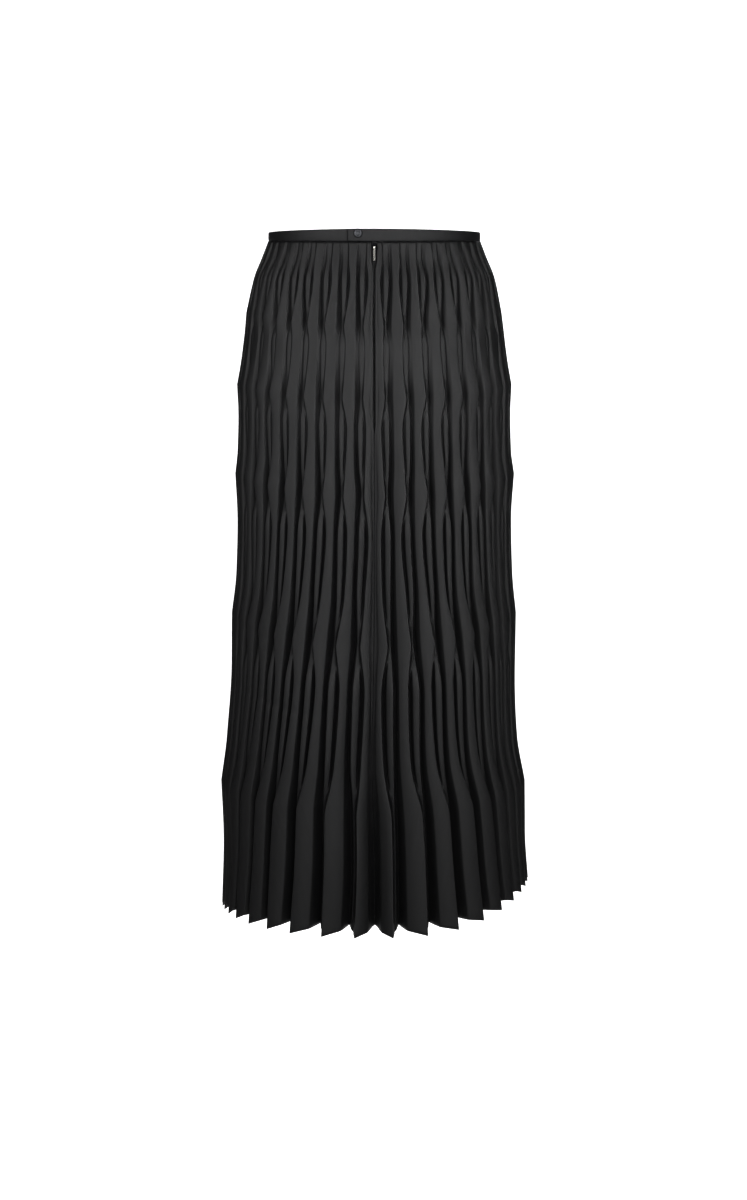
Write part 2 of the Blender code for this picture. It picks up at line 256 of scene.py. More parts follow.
@dataclass(frozen=True)
class MouldedNylon:
    """Nylon or polyester, extruded and drawn into monofilament, yarn or tape.

    Drawing leaves it smooth, with a dull plastic gleam along its ribs or plies.
    """

    name: str
    colour: str
    light_colour: str
    roughness: float                # each finish varies it a little, as real ones do
    rib_mm: float                   # spacing of its coils, ribs or plies
    relief_mm: float
    ior: float = 1.53               # nylon

    def material(self) -> bpy.types.Material:
        """Make the plastic, with fine ribs.

        Returns:
            Node material of the plastic.
        """
        made, tree, shader = shader_of(self.name)
        shader.inputs["IOR"].default_value = self.ior
        place = add_node(tree, "ShaderNodeTexCoord").outputs["Object"]
        ribs = add_node(tree, "ShaderNodeTexWave",
                        {"Vector": place, "Scale": math.pi / (10 * self.rib_mm * MM),
                         "Distortion": 0.4}, bands_direction="Z")
        mottle = add_node(tree, "ShaderNodeTexNoise",
                          {"Vector": place, "Scale": 1 / (6 * self.rib_mm * MM), "Detail": 3.0})
        bump = add_node(tree, "ShaderNodeBump",
                        {"Height": ribs.outputs["Fac"], "Distance": self.relief_mm * MM})
        share = mottle.outputs["Fac"]
        feed(tree, shader, {
            "Base Color": blend(tree, share, self.colour, self.light_colour),
            "Roughness": between(tree, share, self.roughness * 0.85, self.roughness * 1.15),
            "Normal": bump.outputs["Normal"]})
        return made


@dataclass(frozen=True)
class PlatedMetal:
    """Small pressed or die-cast metal, plated and tumbled.

    Tumbling leaves it with a fine, even haze, and handling rubs its high places. Dark
    lacquer or gunmetal plating keeps the haze but gives back little light.
    """

    name: str
    colour: str
    rubbed_colour: str
    roughness: float
    grain_mm: float
    relief_mm: float = 0.01

    def material(self) -> bpy.types.Material:
        """Make the metal, with a tumbled haze and rubbed places.

        Returns:
            Node material of the metal.
        """
        made, tree, shader = shader_of(self.name)
        shader.inputs["Metallic"].default_value = 1.0
        place = add_node(tree, "ShaderNodeTexCoord").outputs["Object"]
        haze = add_node(tree, "ShaderNodeTexNoise",
                        {"Vector": place, "Scale": 1 / (self.grain_mm * MM), "Detail": 5.0,
                         "Roughness": 0.7})
        share = haze.outputs["Fac"]
        bump = add_node(tree, "ShaderNodeBump",
                        {"Height": share, "Distance": self.relief_mm * MM, "Strength": 0.5})
        feed(tree, shader, {
            "Base Color": blend(tree, share, self.colour, self.rubbed_colour),
            "Roughness": between(tree, share, self.roughness * 0.7, self.roughness * 1.3),
            "Normal": bump.outputs["Normal"]})
        return made


@dataclass(frozen=True)
class BackdropPaper:
    """Seamless backdrop paper, rolled matt, with only a trace of tone in it."""

    name: str
    colour: str
    glow: float                     # how much light comes through it from behind
    widening: float = 0.205         # the part lit from behind widens by this much each way
    apex: float = -2.66             # y where its sides would meet
    near: float = 0.40              # y where it starts
    fade: float = 0.30              # width of its soft border

    def material(self) -> bpy.types.Material:
        """Make the paper, lit from behind only near the middle.

        Returns:
            Node material of the paper.
        """
        made, tree, shader = shader_of(self.name)
        place = add_node(tree, "ShaderNodeTexCoord").outputs["Object"]
        tone = add_node(tree, "ShaderNodeTexNoise", {"Vector": place, "Scale": 1.5, "Detail": 2.0})
        apart = add_node(tree, "ShaderNodeSeparateXYZ", {"Vector": place})
        aside = add_node(tree, "ShaderNodeMath", {0: apart.outputs["X"]}, operation="ABSOLUTE")
        reach = add_node(tree, "ShaderNodeMath",
                         {0: apart.outputs["Y"], 1: self.widening, 2: -self.apex * self.widening},
                         operation="MULTIPLY_ADD")
        outside = add_node(tree, "ShaderNodeMath",
                           {0: aside.outputs["Value"], 1: reach.outputs["Value"]},
                           operation="SUBTRACT")
        across = add_node(tree, "ShaderNodeMapRange",
                          {"Value": outside.outputs["Value"], "From Min": 0.0,
                           "From Max": self.fade, "To Min": self.glow, "To Max": 0.0},
                          interpolation_type="SMOOTHSTEP")
        along = add_node(tree, "ShaderNodeMapRange",
                         {"Value": apart.outputs["Y"], "From Min": self.near - self.fade,
                          "From Max": self.near}, interpolation_type="SMOOTHSTEP")
        lit = add_node(tree, "ShaderNodeMath",
                       {0: across.outputs["Result"], 1: along.outputs["Result"]},
                       operation="MULTIPLY")
        shader.inputs["Base Color"].default_value = linear(self.colour)
        shader.inputs["Specular IOR Level"].default_value = 0.2
        shader.inputs["Emission Color"].default_value = (1.0, 1.0, 1.0, 1.0)
        feed(tree, shader, {"Emission Strength": lit.outputs["Value"],
                            "Roughness": between(tree, tone.outputs["Fac"], 0.85, 0.95)})
        return made


# The second colour of each satin is a painted highlight on its pressed crests and edges, also used for
# the lighter yarn streaks
PLEATED_SATIN = WovenSatin("heat_set_polyester_satin", "#08080a", "#121214", 0.64, 0.56)
# Its second colour paints a highlight along the band's folded edges, and its lighter yarn streaks
BAND_SATIN = WovenSatin("folded_satin_band", "#0c0c0e", "#161619", 0.65, 0.56)
SEWING_THREAD = MouldedNylon("spun_polyester_thread", "#17171a", "#2a2a2e", 0.55, 0.45, 0.03)
ZIP_TAPE = MouldedNylon("woven_zip_tape", "#101012", "#1c1c1f", 0.75, 0.8, 0.05)
ZIP_COIL = MouldedNylon("extruded_nylon_coil", "#08080a", "#0f0f11", 0.70, 0.3, 0.01)
GUNMETAL = PlatedMetal("tumbled_gunmetal_brass", "#2e2f32", "#6c6d70", 0.50, 0.6)
BLACK_ZINC = PlatedMetal("black_lacquered_zinc", "#111113", "#232326", 0.42, 0.5)
NICKEL = PlatedMetal("nickel_plated_zinc", "#b9b8b3", "#dedcd6", 0.24, 0.5)
PAPER = BackdropPaper("matt_backdrop_paper", "#f0f0f0", 0.98)


# Meshes


def unit(vectors: np.ndarray) -> np.ndarray:
    """Return vectors made one long."""
    return vectors / np.maximum(np.linalg.norm(vectors, axis=-1, keepdims=True), TINY)


def grid_faces(rows: int, columns: int, flip: bool, offset: int = 0, round_rows: bool = False,
               round_columns: bool = False) -> np.ndarray:
    """List the four-sided faces of a grid of points.

    Args:
        rows: Points down the grid.
        columns: Points across the grid.
        flip: Whether the faces look the other way.
        offset: Number of the grid's first point.
        round_rows: Whether the last row joins the first.
        round_columns: Whether the last column joins the first.

    Returns:
        Array of four point numbers for each face.
    """
    down = np.arange(rows if round_rows else rows - 1)
    across = np.arange(columns if round_columns else columns - 1)
    row, column = np.meshgrid(down, across, indexing="ij")
    below, beside = (row + 1) % rows, (column + 1) % columns
    corners = [row * columns + column, row * columns + beside, below * columns + beside,
               below * columns + column]
    if flip:
        corners.reverse()
    return np.stack([corner.ravel() for corner in corners], axis=1) + offset


def make_mesh(name: str, points: np.ndarray, faces: np.ndarray | Sequence[Sequence[int]],
              material: bpy.types.Material, smooth: bool = True,
              flat_place: np.ndarray | None = None,
              values: Mapping[str, np.ndarray] | None = None) -> bpy.types.Object:
    """Make a mesh object in the scene.

    Args:
        name: Name of the object.
        points: Array of points, three numbers each.
        faces: Point numbers of each face.
        material: Finish of the piece.
        smooth: Whether the faces are shaded smoothly.
        flat_place: Place of each point in the flat cloth, in metres, for the UV map.
        values: Named number for each point, for the finish to read.

    Returns:
        The new object.
    """
    mesh = bpy.data.meshes.new(name)
    mesh.from_pydata(np.asarray(points, float).reshape(-1, 3).tolist(), [],
                     faces.tolist() if isinstance(faces, np.ndarray) else list(faces))
    if flat_place is not None:
        layer = mesh.uv_layers.new(name="flat")
        corner = np.zeros(len(mesh.loops), dtype=np.int32)
        mesh.loops.foreach_get("vertex_index", corner)
        layer.data.foreach_set("uv", np.asarray(flat_place, np.float32)[corner].ravel())
    for label, numbers in (values or {}).items():
        stored = mesh.attributes.new(label, "FLOAT", "POINT")
        stored.data.foreach_set("value", np.asarray(numbers, np.float32).ravel())
    mesh.materials.append(material)
    mesh.polygons.foreach_set("use_smooth", np.full(len(mesh.polygons), smooth))
    mesh.update()
    made = bpy.data.objects.new(name, mesh)
    bpy.context.scene.collection.objects.link(made)
    return made


def closed_shell(outer: np.ndarray, inner: np.ndarray, flip: bool
                 ) -> tuple[np.ndarray, np.ndarray]:
    """Join two grids of points into one closed thin shell.

    Args:
        outer: Grid of points of the outer skin.
        inner: Grid of the inner skin, the same size.
        flip: Whether the grid's faces look inward as numbered.

    Returns:
        Points of the shell and its faces.
    """
    rows, columns = outer.shape[:2]
    count = rows * columns
    faces = [grid_faces(rows, columns, flip), grid_faces(rows, columns, not flip, count)]
    across, down = np.arange(columns), np.arange(rows) * columns
    for edge, turned in ((across, flip), (across + (rows - 1) * columns, not flip),
                         (down, not flip), (down + columns - 1, flip)):
        rim = np.stack([edge[:-1], edge[1:], edge[1:] + count, edge[:-1] + count], axis=1)
        faces.append(rim if turned else rim[:, ::-1])
    return np.concatenate([outer.reshape(-1, 3), inner.reshape(-1, 3)]), np.concatenate(faces)


def tube(path: np.ndarray, radius: np.ndarray | float, sides: int, offset: int = 0
         ) -> tuple[np.ndarray, list[list[int]]]:
    """Sweep a round section along a path and close its ends.

    Args:
        path: Points of the path.
        radius: Radius of the section, or one for each point.
        sides: Sides of the section.
        offset: Number of its first point.

    Returns:
        Points of the tube and its faces.
    """
    ahead = unit(np.gradient(path, axis=0))
    helper = np.array([0.0, 0.0, 1.0]) if abs(ahead[0, 2]) < 0.9 else np.array([0.0, 1.0, 0.0])
    first = unit(np.cross(ahead, helper))
    second = np.cross(ahead, first)
    turn = np.arange(sides) * (math.tau / sides)
    size = np.broadcast_to(radius, (len(path),))[:, None, None]
    points = path[:, None] + size * (first[:, None] * np.cos(turn)[None, :, None]
                                     + second[:, None] * np.sin(turn)[None, :, None])
    faces = grid_faces(len(path), sides, True, offset, round_columns=True).tolist()
    last = offset + (len(path) - 1) * sides
    faces.append([offset + step for step in range(sides)])
    faces.append([last + sides - 1 - step for step in range(sides)])
    return points.reshape(-1, 3), faces


def tubes(paths: Sequence[np.ndarray], radius: float, sides: int
          ) -> tuple[np.ndarray, list[list[int]]]:
    """Sweep a round section along several paths.

    Args:
        paths: Points of each path.
        radius: Radius of the section.
        sides: Sides of the section.

    Returns:
        Points of all the tubes and their faces.
    """
    points, faces, count = [], [], 0
    for path in paths:
        found, joined = tube(path, radius, sides, count)
        points.append(found)
        faces += joined
        count += len(found)
    return np.concatenate(points), faces


def settle(piece: bpy.types.Object, body: Body, slot: str, *nodes: str) -> bpy.types.Object:
    """Let a piece ride on its body and stand for CAD nodes.

    Args:
        piece: The new piece.
        body: Body that it moves with.
        slot: Not used.
        nodes: CAD nodes that it replaces.

    Returns:
        The piece.
    """
    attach(piece, body.value)
    if nodes:
        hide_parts(*nodes)
    triangles = sum(len(face.vertices) - 2 for face in piece.data.polygons)
    LOG.info("%s: %d triangles on %s", piece.name, triangles, body.value)
    return piece


def follow(known: np.ndarray, at: np.ndarray, values: np.ndarray, sharp: np.ndarray) -> np.ndarray:
    """Read values between rows: smooth through plain rows, angular at the waves.

    Args:
        known: Drop of each row.
        at: Drops to read at.
        values: One value, or array of values, for each row.
        sharp: Whether each row is angular.

    Returns:
        Values at the drops asked for.
    """
    step = np.diff(known)
    shape = (-1,) + (1,) * (values.ndim - 1)
    secant = np.diff(values, axis=0) / step.reshape(shape)
    before = np.concatenate([secant[:1], secant])
    after = np.concatenate([secant, secant[-1:]])
    both = np.where(before + after == 0, 1.0, before + after)
    mean = np.where(before * after > 0, 2 * before * after / both, 0.0)
    keep = sharp.reshape(shape)
    arrive, leave = np.where(keep, before, mean), np.where(keep, after, mean)
    index = np.clip(np.searchsorted(known, at, side="right") - 1, 0, len(known) - 2)
    share = ((at - known[index]) / step[index]).reshape(shape)
    width = step[index].reshape(shape)
    return (values[index] * (1 + 2 * share) * (1 - share) ** 2
            + values[index + 1] * share ** 2 * (3 - 2 * share)
            + width * leave[index] * share * (1 - share) ** 2
            - width * arrive[index + 1] * share ** 2 * (1 - share))


def look_inward(directions: np.ndarray, places: np.ndarray) -> bool:
    """Return whether directions at some places point, on the whole, toward the Z axis."""
    return float((directions * places)[..., :2].sum()) < 0


def soft_step(value: np.ndarray | float) -> np.ndarray | float:
    """Return 0 below 0, 1 above 1 and a smooth curve between."""
    held = np.clip(value, 0.0, 1.0)
    return held * held * (3 - 2 * held)


# Pleated cloth


@dataclass(frozen=True)
class Row:
    """One row of the folded cloth, as in the CAD source."""

    name: str
    drop: float                     # below the origin at the side seams
    sag: float                      # how much lower it lies at the centre
    half_width: float
    half_depth: float
    depth: float                    # of its pleats
    twin: float                     # 0 for single pleats, 1 for divided ones
    fan: float                      # above 0 for wider, deeper pleats at the centre
    middle: float                   # level of the cloth at the centre
    shift: float                    # of the whole row to the right
    relief: float                   # shown depth of the pleats, as a share of the source's

    @property
    def wave(self) -> bool:
        """Whether the row is a wave, where the ridges turn at an angle."""
        return self.name.endswith("wave")


BAND_BACK_HEIGHT = 0.0154
BAND_SIDE_HEIGHT = 0.0112
BAND_BACK_DROP = 0.0006             # how much lower its middle lies at the centre
SEAM_GAP = 0.0003                   # between pieces of the source at a seam
SEAM_TUCK = 0.00025                 # how far the stitching draws the cloth up against the band
SEAM_TUCK_FADE = 0.004              # over this drop
WAIST_SEAM_DROP = BAND_SIDE_HEIGHT / 2 + SEAM_GAP
WAIST_SEAM_SAG = (BAND_BACK_HEIGHT - BAND_SIDE_HEIGHT) / 2 + BAND_BACK_DROP
ROWS = (
    Row("waist seam", WAIST_SEAM_DROP, WAIST_SEAM_SAG, 0.1350, 0.0924, 0.0026, 0.7, 0.000, 1.0,
        0.0, 0.7),
    Row("waist fold", 0.0270, 0.0040, 0.1435, 0.0962, 0.0042, 0.65, -0.010, 0.9, 0.0, 1.1),
    Row("first divide", 0.0503, 0.0060, 0.1532, 0.1000, 0.0046, 1.0, -0.020, 0.8, 0.0, 1.15),
    Row("first wave", 0.0945, 0.0175, 0.1632, 0.1060, 0.0085, 0.0, -0.030, 0.7, -0.0005, 1.1),
    Row("second divide", 0.1223, 0.0175, 0.1664, 0.1090, 0.0050, 0.5, -0.032, 0.7, 0.0, 0.42),
    Row("second close", 0.1580, 0.0159, 0.1713, 0.1120, 0.0064, 0.3, -0.033, 0.7, 0.0, 0.75),
    Row("second wave", 0.1861, 0.0146, 0.1765, 0.1145, 0.0095, 0.0, -0.033, 0.7, 0.0, 1.0),
    Row("third divide", 0.2208, 0.0167, 0.1754, 0.1160, 0.0056, 0.8, -0.033, 0.7, 0.0, 0.95),
    Row("third close", 0.2698, 0.0155, 0.1768, 0.1175, 0.0072, 0.5, -0.033, 0.65, 0.0, 1.3),
    Row("third wave", 0.3009, 0.0190, 0.1806, 0.1190, 0.0110, 0.0, -0.033, 0.7, 0.0005, 1.2),
    Row("fourth divide", 0.3557, 0.0177, 0.1781, 0.1200, 0.0064, 1.0, -0.025, 0.65, 0.0, 1.35),
    Row("fourth close", 0.4280, 0.0179, 0.1802, 0.1220, 0.0084, 0.7, -0.010, 0.65, 0.0, 1.3),
    Row("fourth wave", 0.4836, 0.0250, 0.1862, 0.1250, 0.0125, 0.0, 0.015, 0.7, -0.0005, 1.2),
    Row("fifth divide", 0.5504, 0.0175, 0.1865, 0.1280, 0.0078, 1.0, 0.030, 0.6, -0.0013, 1.35),
    Row("fifth close", 0.6462, 0.0144, 0.1920, 0.1330, 0.0098, 0.7, 0.055, 0.6, -0.0030, 1.3),
    Row("fifth wave", 0.7088, 0.0113, 0.2017, 0.1380, 0.0145, 0.0, 0.080, 0.3, -0.0017, 1.15),
    Row("last fold", 0.7775, 0.0079, 0.2012, 0.1420, 0.0165, 0.0, 0.105, 0.1, 0.0, 1.15),
    Row("hem", 0.8872, -0.0075, 0.2051, 0.1460, 0.0190, 0.0, 0.130, 0.0, 0.0008, 1.1),
)
DROPS = np.array([row.drop for row in ROWS])
SHARP = np.array([row.wave for row in ROWS])
HEM_RIDGE_DROP = 0.0110             # how much lower the hem lies at a ridge than in a valley
HEM_LIFT = {Side.LEFT: 0.0090, Side.RIGHT: 0.0440}      # at the side seams
HEM_LIFT_POWER = 3                  # so the lift comes mostly near the side seams

PLEATS = 10                         # in a quarter
FOLD_SEED = 11
UNEVEN = 0.045                      # how far a pleat strays, as a share of its width
FIRST_VALLEY = -0.23                # place of the valley that the centre seam hides
LEAST_STEPS = 4                     # fewest fine rows between two rows of the source
LIP_COLUMN = 2                      # column of a rolled edge just past its corner


def row_values(name: str, drops: np.ndarray) -> np.ndarray:
    """Return one value of the rows, read at the drops asked for."""
    return follow(DROPS, drops, np.array([getattr(row, name) for row in ROWS]), SHARP)


@dataclass(frozen=True)
class Fold:
    """One of the four folds of a pleat, single and divided, and how it is creased."""

    across_single: float            # place of the fold in its pleat
    level_single: float             # 1 for the height of a ridge, 0 for that of a valley
    across_twin: float              # both again where the pleat is divided
    level_twin: float
    level_waist: float              # level right under the waistband
    rounding: float                 # length of face that its bend takes up
    polish: float                   # how far pressing has polished it, and how strongly its crest gets a painted highlight
    rises: tuple[tuple[float, float], ...]  # place and rise of points on the face before it


LIGHT_FACE = ((0.10, 0.42), (0.20, 0.82), (0.26, 0.91), (0.95, 0.99))
DARK_FACE = ((0.14, 0.17), (0.50, 0.55), (0.90, 0.92))
FIRST_FACE = ((0.10, 0.10), (0.28, 0.62), (0.36, 0.87), (0.94, 0.99))
FOLDS = (
    Fold(0.77, 1.00, 0.54, 1.00, 1.00, 0.0006, 1.0, LIGHT_FACE),  # ridge
    Fold(0.82, 0.70, 0.67, 0.08, 0.26, 0.0004, 0.0, DARK_FACE),  # slit
    Fold(0.90, 0.38, 1.00, 0.95, 0.18, 0.0007, 0.7, LIGHT_FACE),  # step
    Fold(1.00, 0.00, 1.13, 0.00, 0.00, 0.0004, 0.0, DARK_FACE),  # valley
)
PLEAT_SPAN = PLEATS - 1 + FOLDS[-1].across_single + FIRST_VALLEY


@dataclass(frozen=True)
class Crease:
    """A crease or soft hollow that handling left in the cloth, placed one by one."""

    side: Side
    end: End
    aside: float                    # distance of its middle from the centre
    drop: float
    reach_aside: float              # how far it dies away to each side
    reach_up: float                 # how far it dies away up and down
    rise: float                     # above 0 for a ridge, below 0 for a trough
    slant: float = 0.0              # how much lower it runs for each metre outward

    def offset(self, aside: np.ndarray, drops: np.ndarray) -> np.ndarray:
        """Return how far the crease moves the cloth outward.

        Args:
            aside: Distance of each point from the centre.
            drops: Drop of each row, as a column.

        Returns:
            Outward moves in metres.
        """
        level = self.drop + self.slant * (aside - self.aside)
        return self.rise * np.exp(-((aside - self.aside) / self.reach_aside) ** 2
                                  - ((drops - level) / self.reach_up) ** 2)


CREASES = (
    Crease(Side.LEFT, End.BACK, 0.070, 0.0640, 0.060, 0.0022, -0.0009, -0.05),  # left hip line
    Crease(Side.RIGHT, End.BACK, 0.055, 0.0630, 0.045, 0.0022, -0.0008, -0.04),  # right hip line
    Crease(Side.RIGHT, End.BACK, 0.062, 0.0300, 0.022, 0.0140, -0.0014, 0.15),  # right waist hollow
    Crease(Side.LEFT, End.BACK, 0.050, 0.0380, 0.020, 0.0160, 0.0009),  # left waist swell
    Crease(Side.LEFT, End.BACK, 0.045, 0.1700, 0.030, 0.0300, -0.0012, 0.2),  # left seat hollow
    Crease(Side.RIGHT, End.BACK, 0.085, 0.1450, 0.030, 0.0350, 0.0012),  # right seat swell
    Crease(Side.LEFT, End.BACK, 0.160, 0.4920, 0.030, 0.0030, -0.0010, -0.12),  # left side line
    Crease(Side.RIGHT, End.BACK, 0.162, 0.4890, 0.028, 0.0028, -0.0009, -0.10),  # right side line
    Crease(Side.LEFT, End.BACK, 0.125, 0.5780, 0.040, 0.0030, -0.0011, -0.15),  # left shelf line
    Crease(Side.LEFT, End.BACK, 0.080, 0.6100, 0.045, 0.0600, 0.0016, 0.3),  # left knee swell
    Crease(Side.RIGHT, End.BACK, 0.120, 0.6300, 0.030, 0.0500, -0.0014),  # right knee hollow
    Crease(Side.LEFT, End.FRONT, 0.060, 0.0660, 0.050, 0.0040, -0.0008, -0.05),  # front hip line
    Crease(Side.RIGHT, End.FRONT, 0.070, 0.3300, 0.050, 0.0700, 0.0014),  # front swell
    Crease(Side.LEFT, End.FRONT, 0.100, 0.5600, 0.040, 0.0600, -0.0014),  # front hollow
)


def fine_drops(spacing_top: float, spacing: float, top_end: float = 0.12) -> np.ndarray:
    """Return the drops of the fine rows, every CAD row among them.

    Args:
        spacing_top: Largest spacing near the waist.
        spacing: Largest spacing lower down.
        top_end: Drop where the wider spacing starts.

    Returns:
        Drops from the waist seam to the hem.
    """
    found: list[float] = []
    for upper, lower in zip(DROPS, DROPS[1:]):
        wide = spacing_top if upper < top_end else spacing
        count = max(LEAST_STEPS, math.ceil((lower - upper) / wide))
        found += [upper + (lower - upper) * step / count for step in range(count)]
    return np.array(found + [DROPS[-1]])


@dataclass(frozen=True)
class Corners:
    """Corners of the folds at every fine row, and the faces between them."""

    crest: np.ndarray               # plan place of each corner if it were a ridge
    reach: np.ndarray               # from there inward to a full-depth valley
    levels: np.ndarray              # 1 for a ridge, 0 for a valley

    @property
    def place(self) -> np.ndarray:
        """Plan place of each corner."""
        return self.crest - self.reach * (1 - self.levels)[..., None]

    def level_on(self, face: int, share: np.ndarray | float) -> np.ndarray:
        """Return the level at a share of the way from a face's first corner to its last."""
        return self.levels[:, face] + (self.levels[:, face + 1] - self.levels[:, face]) * share

    def on_face(self, face: int, step: np.ndarray | float, rise: float) -> np.ndarray:
        """Return a column of plan points on a face.

        Args:
            face: Number of the face.
            step: Share of the way along it, one number or a column.
            rise: Share of the way up it.

        Returns:
            Plan points, one for each row.
        """
        inward = self.reach[:, face] + (self.reach[:, face + 1] - self.reach[:, face]) * step
        middle = self.crest[:, face] + (self.crest[:, face + 1] - self.crest[:, face]) * step
        return middle - inward * (1 - self.level_on(face, rise))[:, None]


@dataclass
class Columns:
    """Columns of points, laid one after another along a quarter."""

    edge_press: float = 0.15        # how pressed a rolled edge is where it meets the face, which also sets its painted highlight
    points: list[np.ndarray] = field(default_factory=list)
    levels: list[np.ndarray] = field(default_factory=list)
    press: list[np.ndarray] = field(default_factory=list)

    def put(self, point: np.ndarray, level: np.ndarray, pressed: np.ndarray | float) -> None:
        """Lay the next column.

        Args:
            point: Its plan points.
            level: Their levels.
            pressed: How pressed the cloth is there, which also sets its painted highlight.
        """
        self.points.append(point)
        self.levels.append(level)
        self.press.append(np.broadcast_to(pressed, level.shape))

    def roll(self, corner: np.ndarray, face_end: np.ndarray, inward: np.ndarray,
             reach: np.ndarray, level: np.ndarray, ending: bool, steps: int = 3) -> None:
        """Roll a sewn edge inward from a face.

        Args:
            corner: Corner that the roll rounds.
            face_end: Where the face ends.
            inward: Direction into the skirt.
            reach: How far the roll goes in.
            level: Level of the corner.
            ending: Whether the roll ends the row instead of starting it.
            steps: Columns in the roll.
        """
        deep = corner + inward * reach
        shares = [step / steps for step in range(steps + 1)]
        for share in (reversed(shares) if ending else shares):
            point = deep * (1 - share) ** 2 + corner * 2 * share * (1 - share) + face_end * share ** 2
            self.put(point, level, self.edge_press * share)


@dataclass
class PleatedQuarter:
    """A quarter of the pleated cloth, from the centre to its side seam."""

    side: Side
    end: End
    drops: np.ndarray
    centre_seam: bool
    lip: float = 0.0009             # how far a sewn edge rolls inward
    zip_lip: float = 0.0022         # likewise along the zip
    zip_bottom: float = 0.216       # drop where the zip ends
    blunt: float = 0.16             # share of a stretch before a divided pleat opens
    blunt_stray: float = 0.14       # how much more or less it is from pleat to pleat
    waist_end: float = 0.050        # drop where the waist's box folds have faded out
    zip_fade: float = 0.012         # drop over which the seam closes below the zip
    zip_gap: float = 0.0007         # half the distance between the lips of the zip
    slider_gap: float = 0.0025      # likewise where the slider and its tab part them
    slider_bottom: float = 0.0310   # drop to which the tab reaches
    slider_fade: float = 0.005      # drop over which the lips close below it
    most_rounded: float = 0.30      # largest share of a face that a fold's bend takes up
    bend_reach: float = 0.5         # share of that room at which the bend starts
    polish_from: float = 0.6        # level above which pressing polishes a fold and paints a highlight on it
    polish_over: float = 0.3        # levels over which the polish grows
    loose_from: float = 0.012       # distance from the seams at which creases are in full
    points: np.ndarray = field(init=False)
    flat: np.ndarray = field(init=False)
    press: np.ndarray = field(init=False)

    def strays(self) -> np.ndarray:
        """Return how far each pleat of each CAD row strays, as the CAD source has it."""
        chance = random.Random(FOLD_SEED + 2 * self.side.value + self.end.value)
        return np.array([[chance.uniform(-UNEVEN, UNEVEN) for _ in range(PLEATS)] for _ in ROWS])

    def opening(self) -> np.ndarray:
        """Return how far each pleat is divided at each fine row.

        A divided pleat starts bluntly some way below a wave and closes in a point at the
        next, each a little higher or lower than its neighbours.

        Returns:
            Array of fine rows by pleats, from 0 for single to 1 for divided.
        """
        chance = np.random.default_rng(FOLD_SEED + 2 * self.side.value + self.end.value)
        twin = np.array([row.twin for row in ROWS])
        index = np.clip(np.searchsorted(DROPS, self.drops, side="right") - 1, 0, len(ROWS) - 2)
        share = (self.drops - DROPS[index]) / np.diff(DROPS)[index]
        start = self.blunt + chance.uniform(
            -self.blunt_stray, self.blunt_stray, (len(ROWS), PLEATS))[index]
        blunt = soft_step((share[:, None] - start) / (1 - start))
        plain = np.broadcast_to(share[:, None], blunt.shape)
        rising = (twin[index + 1] > twin[index])[:, None]
        shown = np.where(rising, blunt, plain)
        return twin[index][:, None] + (twin[index + 1] - twin[index])[:, None] * shown

    def shares_and_levels(self) -> tuple[np.ndarray, np.ndarray]:
        """Work out where the corners of every row lie along the quarter.

        Returns:
            Shares of the quarter and levels, by rows and corners.
        """
        swing = row_values("twin", self.drops)
        stray = follow(DROPS, self.drops, self.strays(), np.zeros(len(ROWS), bool))
        middle = row_values("middle", self.drops)
        split = self.opening()
        waist = 1 - soft_step((self.drops - DROPS[0]) / (self.waist_end - DROPS[0]))
        shares, levels = [np.zeros_like(self.drops)], [middle]
        for pleat in range(PLEATS):
            for fold in FOLDS:
                # The last pleat stops at the side seam
                twin = fold.across_twin / (FOLDS[-1].across_twin if pleat == PLEATS - 1 else 1)
                across = fold.across_single + (twin - fold.across_single) * swing
                level = fold.level_single + (fold.level_twin - fold.level_single) * split[:, pleat]
                level = level + (fold.level_waist - level) * waist
                shares.append((pleat + FIRST_VALLEY + across + stray[:, pleat]) / PLEAT_SPAN)
                levels.append(level)
        shares[-1] = np.ones_like(self.drops)
        return np.stack(shares, axis=1), np.stack(levels, axis=1)

    def values(self, *names: str) -> list[np.ndarray]:
        """Return the named values of the rows at every fine row, each as a column."""
        return [row_values(name, self.drops)[:, None] for name in names]

    def corners(self) -> Corners:
        """Place every corner in plan, towards the side and towards the end.

        Returns:
            Corners by fine rows and corners.
        """
        shares, levels = self.shares_and_levels()
        wide, deep, fan, relief, depth = self.values("half_width", "half_depth", "fan", "relief",
                                                     "depth")
        angle = math.pi / 2 * (shares + fan * np.sin(math.pi * shares))
        depth = relief * depth * (1 + fan * math.pi * np.cos(math.pi * shares))
        normal = unit(np.stack([deep * np.sin(angle), wide * np.cos(angle)], axis=-1))
        crest = np.stack([wide * np.sin(angle), deep * np.cos(angle)], axis=-1)
        reach = normal * depth[..., None]
        # The edges lie at the seams, whatever the normal there
        centre = self.half_gap() if self.centre_seam else np.zeros_like(self.drops)
        crest[:, 0, 0] = centre + reach[:, 0, 0] * (1 - levels[:, 0])
        crest[:, -1, 1] = SEAM_GAP / 2 + reach[:, -1, 1] * (1 - levels[:, -1])
        return Corners(crest, reach, levels)

    def half_gap(self) -> np.ndarray:
        """Work out the opening at the centre: the zip's lips part round the slider.

        Returns:
            Half the opening at every fine row.
        """
        closed = soft_step((self.drops - self.zip_bottom) / self.zip_fade)
        parted = 1 - soft_step((self.drops - self.slider_bottom) / self.slider_fade)
        zipped = self.zip_gap + (self.slider_gap - self.zip_gap) * parted
        return zipped + (SEAM_GAP / 2 - zipped) * closed

